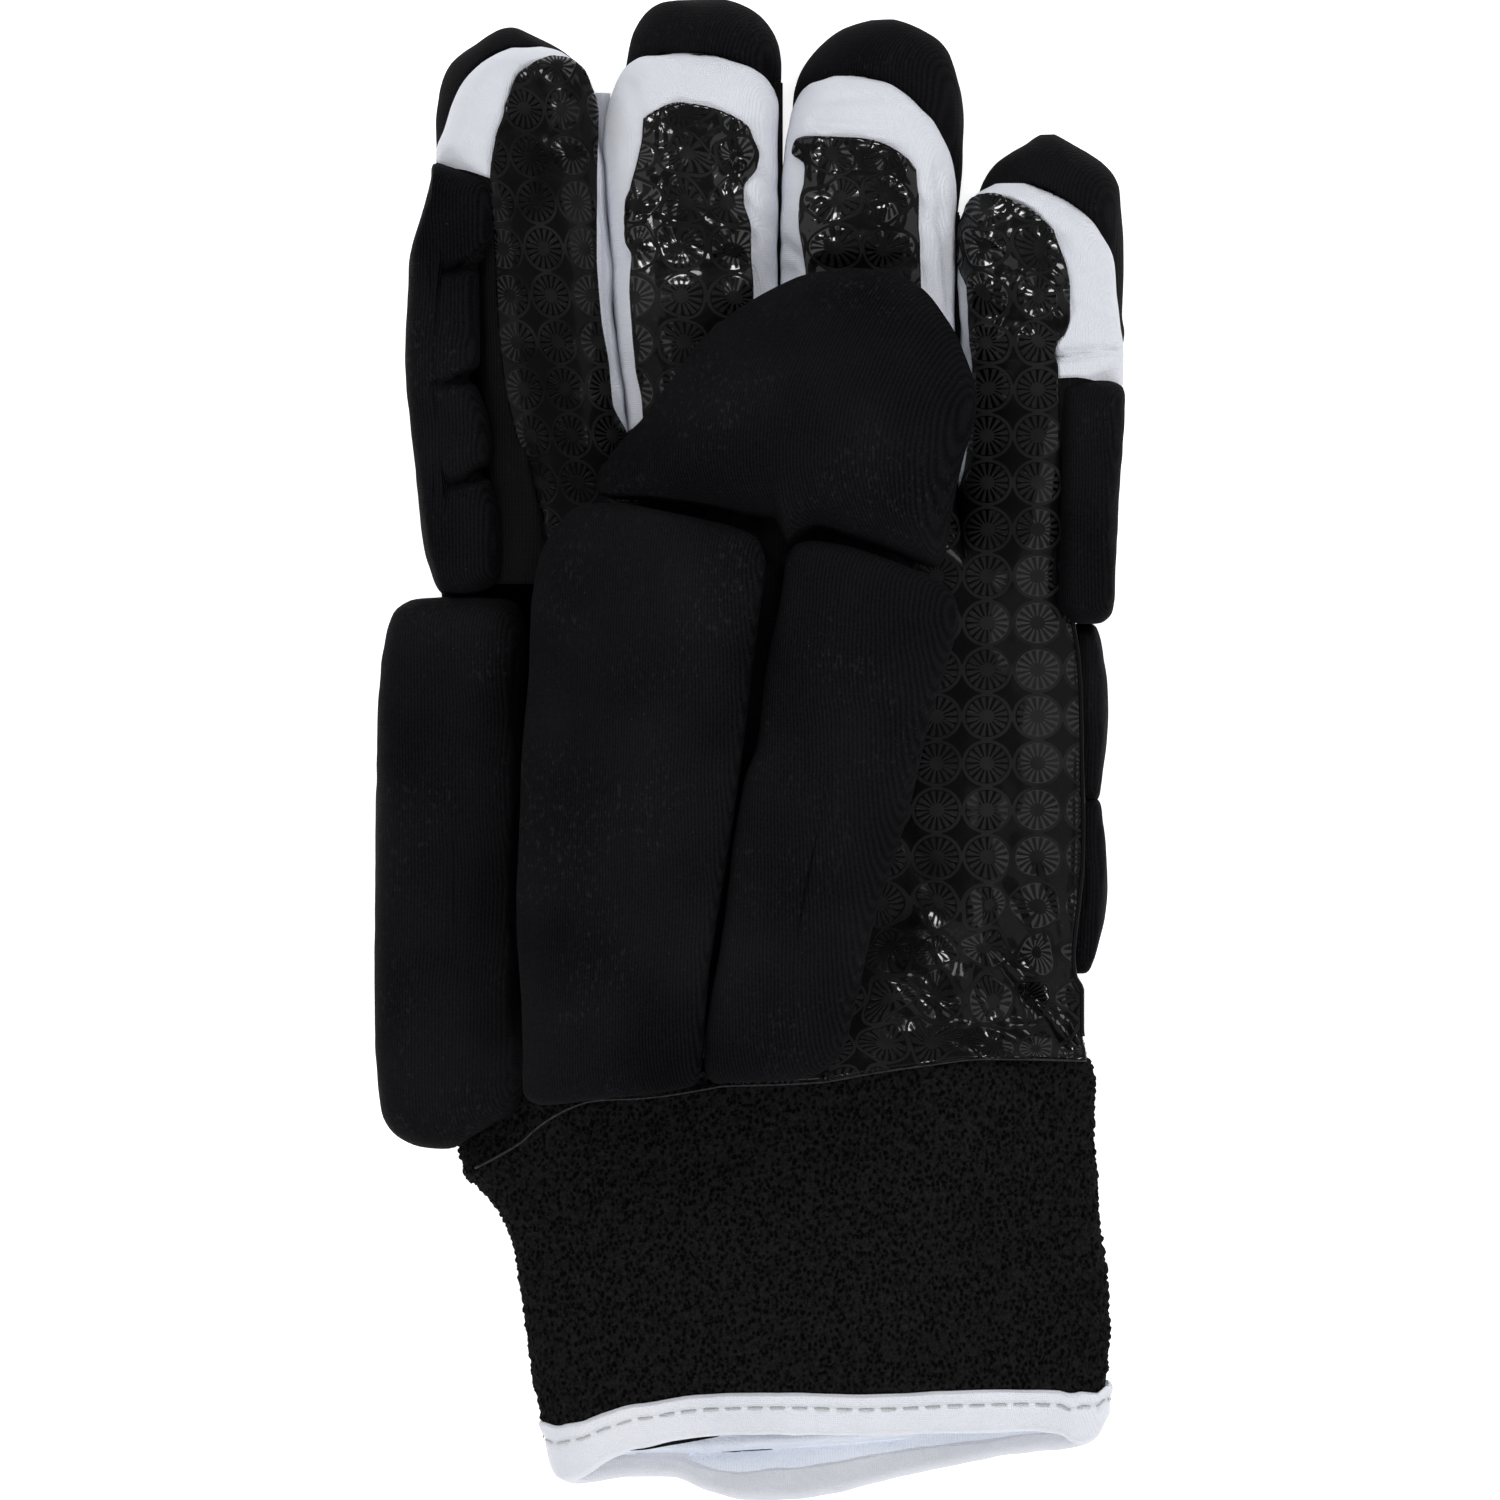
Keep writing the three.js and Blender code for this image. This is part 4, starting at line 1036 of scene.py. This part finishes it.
# The back: thirteen foam blocks under the same neoprene, two on each finger, one on each knuckle and one
# over the wrist, moulded in the sheet and parted by grooves in which the glove bends.
for number, name in enumerate(sorted(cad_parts)):
    if "back_block" not in name:
        continue
    (left, front, low), (right, end, high) = np.array(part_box(name)) / MM
    corner = 2.2  # how much is cut off a block's corners
    block = [
        (left + corner, front), (right - corner, front), (right, front + corner), (right, end - corner),
        (right - corner, end), (left + corner, end), (left, end - corner), (left, front + corner),
    ]
    inset = min(right - left, end - front) / 2.4
    wide = right - left > end - front
    mid_x, mid_y = (left + right) / 2, (front + end) / 2
    across_core = ((left + inset, mid_y), (right - inset, mid_y))
    along_core = ((mid_x, front + inset), (mid_x, end - inset))
    core = across_core if wide else along_core
    grid = cushion(block, core, level(low), level(high), around=96, over=10, under=20, fold=3.6)
    grid += facing(grid, wrap=True) * 0.12 * waves(grid, 15, 151 + number)[..., None]
    pad(f"{name}_cushion", name, [grid])

# The thumb: a stall of black stretch fabric on the palm, under two long foam blocks side by side and a
# domed one over its end, all in neoprene. The grooves between them let the thumb bend.
thumb_rows = [  # along, left, right, low, high
    (-55, -15, 4, 38, 44), (-50, -23, 12, 36.6, 47.6), (10, -17, 21, 36.6, 49.6), (40, -9, 27, 36.8, 49.6),
    (62, -1, 30, 37.6, 49.1), (73, 6, 29, 39.7, 47.6), (77, 12, 24, 42, 46),
]
along = np.linspace(thumb_rows[0][0], thumb_rows[-1][0], 80)[:, None]
thumb_skin = closed(stall_point(thumb_rows, along, full_turn(64)))
thumb = piece("thumb_sleeve", [thumb_skin], wrap=True)
fit(thumb, back_stretch, "thumb_stall")
crown_height, thumb_lean = 61.2, 0.14
arch_fall, arch_half = 9, 38  # how far the arch falls at its half width
block_thick = 11
dome_start, dome_long, dome_fall = 50, 37, 13


def arch_top(x, y):
    """The height of the thumb blocks' tops: a low arch across, whose crown leans with the thumb."""
    return crown_height - arch_fall * ((x - (-1 + thumb_lean * y)) / arch_half) ** 2


def arch_under(x, y):
    """The height of the thumb blocks' undersides."""
    return arch_top(x, y) - block_thick


def cap_top(x, y):
    """The height of the thumb cap's top: the arch, and beyond its start a dome towards the tip."""
    return arch_top(x, dome_start) - dome_fall * np.maximum(0, (y - dome_start) / dome_long) ** 2


thumb_long = [
    (-29.0, 43.9), (-21.8, 43.9), (-4.0, 40.3), (0.9, 38.2), (2.5, 34.4), (2.3, 30.0), (-0.4, 7.2),
    (-4.3, -19.0), (-7.9, -41.4), (-9.2, -57.0), (-10.2, -59.4), (-12.8, -60.3), (-28.4, -62.1),
    (-37.4, -63.0), (-40.3, -61.9), (-41.2, -52.7), (-41.9, -21.4), (-41.8, -3.4), (-40.1, 13.1),
    (-39.4, 26.5), (-37.4, 35.5), (-34.7, 40.0), (-32.0, 42.7),
]
thumb_short = [
    (7.9, 36.9), (10.6, 37.5), (16.2, 36.9), (23.6, 34.6), (30.0, 31.9), (34.6, 29.5), (36.4, 26.8),
    (36.7, 23.2), (35.5, 17.3), (32.2, 4.9), (27.7, -11.7), (22.1, -31.0), (18.0, -47.0), (17.1, -51.7),
    (15.8, -54.8), (13.0, -57.2), (10.6, -58.3), (-2.2, -59.2), (-7.0, -59.4), (-8.5, -57.0),
    (-7.9, -46.4), (-5.6, -32.6), (-3.4, -16.9), (-1.2, -3.4), (0.5, 0.2), (2.9, 11.7), (4.7, 25.4),
    (6.0, 33.6),
]
thumb_cap = [
    (-27.4, 46.3), (-25.8, 52.0), (-19.1, 60.0), (-8.8, 73.8), (-0.2, 80.6), (9.3, 85.6), (16.2, 86.4),
    (21.7, 86.0), (29.6, 83.0), (35.9, 76.0), (39.4, 67.2), (40.0, 63.2), (39.2, 57.6), (37.4, 50.8),
    (35.3, 41.0), (34.1, 34.4), (33.0, 33.0), (30.0, 33.7), (23.6, 35.8), (17.1, 37.6), (11.6, 39.6),
    (8.6, 38.0), (7.0, 36.2), (5.6, 38.4), (4.2, 41.2), (-2.2, 42.3), (-10.6, 43.9), (-19.5, 45.0),
    (-25.5, 45.3),
]
long_pad = cushion(thumb_long, ((-19, 22), (-25, -40)), arch_under, arch_top, around=220, over=42)
pad("thumb_long_cushion", "thumb_long_pad", [sculpt(long_pad, seed=171, swell=0.35, size=30)])
short_pad = cushion(thumb_short, ((20, 16), (4, -42)), arch_under, arch_top, around=220, over=42)
pad("thumb_short_cushion", "thumb_short_pad", [sculpt(short_pad, seed=173, swell=0.35, size=30)])
cap_pad = cushion(thumb_cap, ((18, 60), (-6, 55)), level(37.6), cap_top, fold=2.6)
pad("thumb_cap_cushion", "thumb_cap_pad", [sculpt(cap_pad, seed=175, size=30)])

# The cuff: a wide knitted tube, sewn to the hand along a raised seam. Its loops stand up as small knobs, so
# that the surface is grainy and its outline a little rough.
cuff_left = [  # along, across
    (-134, -33.0), (-131.4, -33.5), (-129.4, -35.2), (-124.8, -37.0), (-122, -38.3), (-115.6, -39.8),
    (-108.7, -41.1), (-101.8, -41.8), (-94, -42.7), (-90.4, -43.7), (-87.8, -44.6), (-85.9, -45.6),
    (-84.2, -46.6), (-82.5, -47.6), (-81.6, -48.5), (-79.1, -49.8), (-78.2, -50.9), (-77, -52.0),
    (-75, -53.2), (-71, -54.0),
]
cuff_right = [
    (-130, 62.0), (-125.5, 63.2), (-117.5, 63.9), (-111, 64.6), (-101.9, 64.8), (-94, 64.1), (-88.6, 63.1),
    (-80, 62.6), (-68, 62.1), (-58.5, 61.9), (-53, 60.8),
]
mouth = [  # across, along at the palm side's edge, and at the back's
    (-37.5, -129.0, -127.6), (-35, -130.4, -130.0), (-31, -129.2, -131.0), (-28.7, -127.7, -130.8),
    (-25.9, -126.0, -130.3), (-22.5, -124.6, -129.9), (-19, -123.9, -129.8), (-14.5, -122.9, -130.0),
    (-7.3, -122.0, -132.6), (-1, -121.7, -134.2), (5, -121.7, -134.2), (14.2, -121.8, -133.0),
    (23.4, -121.8, -130.8), (32.6, -121.5, -128.7), (41.8, -121.4, -126.8), (51, -121.1, -125.4),
    (55.4, -121.4, -125.2), (58.6, -123.4, -124.6), (62.0, -122.6, -123.0), (64.2, -119.4, -119.6),
]
cuff_depth = [  # share of the way to the mouth, low, high
    (0, 11, 35.5), (0.25, 9, 33), (0.42, 7.4, 31), (0.66, 4.4, 27.6), (1, 1.6, 22.4),
]
seam_ends, mouth_ends = (-53.0, 60.3), (-36.6, 64.0)  # across: the cuff's edges at the seam and at the mouth


def cuff_point(share, turn, grow):
    """A point of the cuff's tube: share of the way from the seam to the mouth, turn round it, and how far
    outside. Its section is a superellipse, drawn out along the glove to the seam's and the mouth's lines."""
    seam = between(cuff_seam, np.array(seam_ends))[0]
    ends = between(mouth, np.array(mouth_ends)).mean(0)
    left = between(cuff_left, seam[0] + (ends[0] - seam[0]) * share)[0]
    right = between(cuff_right, seam[1] + (ends[1] - seam[1]) * share)[0]
    low, high = between(cuff_depth, share)
    tube = section_point(left, right, low, high, 0 * share, turn, grow)
    tube[..., 0] = np.clip(tube[..., 0], -55, 66)
    top = between(cuff_seam, tube[..., 0])[0]
    front, back_side = between(mouth, tube[..., 0])
    end = back_side + (front - back_side) * rise(0.1, 0.9, (tube[..., 2] - low) / (high - low))
    tube[..., 1] = top + (end - top) * share
    return tube


def out_of_tube(tube, rows=None):
    """Unit normals of a tube that point out of it, as seen on the palm side of its first rows."""
    out = facing(tube, wrap=True)
    top, reach = tube.shape[1] // 4, tube.shape[1] // 16
    return out * np.sign(out[:rows, top - reach : top + reach, 2].mean())


turn = full_turn(384)
hem = -0.14 + 0.1 * rise(-38, -22, cuff_point(0 * turn, turn, 0)[..., 0])  # the knit starts under the pads
knit_end = 0.955  # and ends under the binding, as a share of the way to the mouth
share = hem + (knit_end - hem) * np.linspace(0, 1, 128)[:, None]
knit_skin = cuff_point(share, turn, -0.5 - 0.9 * rise(0, -0.02, share))
out = out_of_tube(knit_skin)
knobs = 0.5 * np.minimum(np.abs(waves(knit_skin, 1.9, seed=191, count=26)), 1.4)
knobs += 0.12 * waves(knit_skin, 3.4, seed=192)
sag = 0.35 * waves(knit_skin, 30, 193) + 0.2 * waves(knit_skin, 11, 194)
sewn = 0.5 * np.exp(-(((share * 60) / 0.9) ** 2))
under_tape = rise(0.872, 0.885, share)
knit_skin += out * ((knobs - sewn) * (1 - under_tape) + sag * (1 - rise(0.8, 0.88, share)))[..., None]
back_share = knit_end + (hem - knit_end) * np.linspace(0, 1, 12)[:, None]
inside = cuff_point(back_share, turn, -2.4)
knit_skin = np.concatenate([knit_skin, inside, knit_skin[:1]])
shade_strip_share = np.linspace(0, 1, 40)[None]  # along the palm side, inside the mouth under the binding's front edge: a strip of black knit whose black stands in for the shade in the gap there (painted shade)
shade_strip_x = -22.5 + 17 * shade_strip_share
shade_strip_beyond, shade_strip_height = 1.45, 19.4
out_by = np.concatenate([0.6 + 0 * shade_strip_share, 0 * shade_strip_share, -0.8 * np.sin(math.pi * shade_strip_share) ** 0.6])
edge = between(mouth, shade_strip_x)[0] - shade_strip_beyond
shade_strip_skin = xyz(shade_strip_x, edge + out_by, shade_strip_height - 0.3 * np.abs(out_by))
knit = piece("cuff_tube", [joined(knit_skin), shade_strip_skin])
black_knit, tree, surface = finish("black knit", roughness=0.9, specular_ior_level=0.05)
place = millimetres(tree)
drawn = stretched(tree, place, (1.15, 0.8, 1.15))
loops = add(
    tree, "ShaderNodeTexVoronoi", {"Vector": drawn, "Scale": 1.05, "Smoothness": 0.3}, feature="SMOOTH_F1"
)
fibre = cloudy(tree, place, 3.5, 3.0)
wool = cloudy(tree, drawn, 1.5)
lit = soft_step(tree, loops.outputs["Distance"], 0.15, 0.6)  # painted shade: dark in the hole of a loop, where it lies low, and light on its yarn
tone = maths(tree, "MULTIPLY_ADD", lit, 0.18, maths(tree, "MULTIPLY", wool, 0.5))
tone = maths(tree, "MULTIPLY_ADD", fibre, 0.3, tone)
dark_yarn, light_yarn = (0.0002, 0.0002, 0.0002), (0.0135, 0.0135, 0.0137)
tree.links.new(tint(tree, tone, dark_yarn, light_yarn, 0.4, 0.74), surface.inputs["Base Color"])
raise_by(tree, surface, maths(tree, "MULTIPLY_ADD", lit, 0.3, maths(tree, "MULTIPLY", fibre, 0.16)))
fit(knit, black_knit, "cuff_knit")

# The seam between the hand and the cuff: a raised grey thread that runs across the palm side. It is a thick
# plied thread, sewn through the edges of the grip fabric and of the knit.
seam_x = np.linspace(-49.8, 60.0, 160)
seam_y = between(cuff_seam, seam_x)[0] - 0.8 * rise(-30, -20, seam_x)
wrist_x, wrist_z, half_wide, half_high = 3.65, 23.25, 56.8, 12.25  # the section that the thread follows
thread_stands, thread_radius = 0.5, 0.22
seam_z = wrist_z + half_high * bulge((seam_x - wrist_x) / half_wide, limit=0.999) + thread_stands
seam = piece("cuff_seam_thread", [cord(xyz(seam_x, seam_y, seam_z), thread_radius)])
grey_thread, tree, surface = finish("grey thread", roughness=0.6, specular_ior_level=0.3)
ply = cloudy(tree, millimetres(tree), 1.1)
grey = tint(tree, ply, (0.004, 0.004, 0.004), (0.02, 0.02, 0.02), 0.35, 0.65)
tree.links.new(grey, surface.inputs["Base Color"])
raise_by(tree, surface, maths(tree, "MULTIPLY", ply, 0.12))
fit(seam, grey_thread, "cuff_knit")

# The cuff's lining: a thin white fabric inside the knit, seen in the mouth. It hangs a little slack at the
# back, where it sags in folds below the edge.
white_lining = jersey_finish(
    "white lining", 0.5, (0.72, 0.77, 0.88), (0.84, 0.88, 0.96), roughness=0.8, specular_ior_level=0.2
)
turn = full_turn(220)
share = np.linspace(0.55, 0.997, 56)[:, None]
lining_skin = cuff_point(share, turn, -3.0)
out = out_of_tube(lining_skin)
at_back = rise(0.0, -0.6, np.sin(turn))
slack = rise(0.7, 0.86, share) * rise(0.94, 0.89, share) * at_back
folds = 0.5 * waves(lining_skin * np.array([0.2, 1.3, 1]), 7, 201) + 0.1 * waves(lining_skin, 4, 202)
hem_line = [((-20, -125.4), (-7.3, -125.4)), ((-7.3, -125.4), (6.5, -124.4)), ((6.5, -124.4), (27, -122.8))]
ridge = np.max([dent(lining_skin, *ends, 1.6, 1.6, 0.9) for ends in hem_line], axis=0)
beside_hem = lining_skin - np.array([0, -1.6, 0])
ridge -= np.max([dent(beside_hem, *ends, 1.0, 1.0, 0.7) for ends in hem_line], axis=0)
lining_skin += out * (folds * slack - ridge * at_back)[..., None]
lining = piece("cuff_inner", [lining_skin], wrap=True)
thicken(lining, "cloth", 0.5)
fit(lining, white_lining, "cuff_lining")

# The binding: a soft white tape folded over the edge of the knit and the lining all round the mouth, and
# sewn through with one row of stitches.
tape_edge = [  # across, along: where the tape ends on the knit, on the palm side
    (-38.5, -124.6), (-36.6, -124.6), (-32.8, -122.7), (-28.6, -120.7), (-24.5, -119.0), (-17.7, -117.3),
    (-7.3, -115.9), (6.5, -115.6), (20.2, -116.0), (34, -115.4), (47.8, -115.0), (56.8, -115.3),
    (61.6, -116.2), (65, -117.4),
]
tape_inside = [  # across, width: how far the tape reaches into the mouth
    (-38, 1.2), (-14, 1.4), (-4, 2.6), (5, 3.8), (17, 3.5), (34, 2.4), (46, 1.2), (65, 1.2),
]
back_wide, stitch_in = 7.4, 2.7  # the tape's width at the back, and how far in from its edge it is stitched
white_tape = jersey_finish(
    "white binding tape", 0.34, (0.66, 0.68, 0.74), (0.78, 0.79, 0.84), roughness=0.7, specular_ior_level=0.25
)
turn = full_turn(320)
edge_row = cuff_point(np.ones_like(turn), turn, 0)
long = np.abs(cuff_point(0 * turn, turn, 0)[..., 1] - edge_row[..., 1])
palm_side = rise(0.1, 0.9, 0.5 + 0.5 * np.sign(np.sin(turn)) * np.abs(np.sin(turn)) ** (2 / SQUARE))
inside_wide = between(tape_inside, edge_row[..., 0])[0]
wide = back_wide + (between(tape_edge, edge_row[..., 0])[0] - edge_row[..., 1] - back_wide) * palm_side
outer, inner, fold_out = 0.9, -3.9, 1.5  # how far the tape stands off the cuff's tube, and beyond its edge
share = np.linspace(1, 0, 35)[:-1, None]  # the tape runs over the knit, round its fold and into the mouth
fold_turn = np.linspace(math.pi / 2, -math.pi / 2, 14)[:, None]
inward = np.linspace(0, 1, 14)[1:, None]
back_step = np.concatenate([wide * share, 0 * turn - fold_out * np.cos(fold_turn), inward * inside_wide])
stand = np.concatenate([
    outer - outer * (1 - rise(0, 0.7, wide * (1 - share))),
    (outer + inner) / 2 + (outer - inner) / 2 * np.sin(fold_turn) + 0 * turn,
    inner + 0 * (inward + turn),
])
tape_skin = cuff_point(1 - back_step / long, turn, stand)
tape_skin += facing(tape_skin, wrap=True) * (0.1 * waves(tape_skin, 6, 211))[..., None]
row_stands = 0.86
row = cuff_point(1 - (wide - stitch_in) / long, turn, row_stands)[0]
run = np.concatenate([[0], np.cumsum(np.linalg.norm(np.diff(row, axis=0), axis=1))])
pressed = 0.3 * np.exp(-(((wide - back_step - stitch_in) / 0.5) ** 2)) * (stand > 0)
tape_skin -= out_of_tube(tape_skin, rows=20) * pressed[..., None]
tape = piece("mouth_binding", [np.concatenate([tape_skin, tape_skin[:1]])], wrap=True)
stitch_pitch, stitch_long, stitch_radius = 4.0, 2.7, 0.14
mouth_middle = (cuff_depth[-1][1] + cuff_depth[-1][2]) / 2
bow = 0.1 * np.sin(np.linspace(0, math.pi, 6))
stitches = []
for start in np.arange(0, run[-1] - stitch_pitch, stitch_pitch):
    at = np.linspace(start, start + stitch_long, 6)
    path = np.stack([np.interp(at, run, row[:, axis]) for axis in range(3)], axis=-1)
    bowed = path + xyz(0, 0, np.sign(path[:, 2] - mouth_middle) * bow)
    stitches.append(cord(bowed, stitch_radius, sides=6))
thread = piece("binding_stitches", stitches)
white_thread = jersey_finish(
    "white thread", 0.3, (0.4, 0.39, 0.39), (0.54, 0.53, 0.52), roughness=0.6, specular_ior_level=0.3
)
fit(thread, white_thread, "cuff_binding")
fit(tape, white_tape, "cuff_binding")
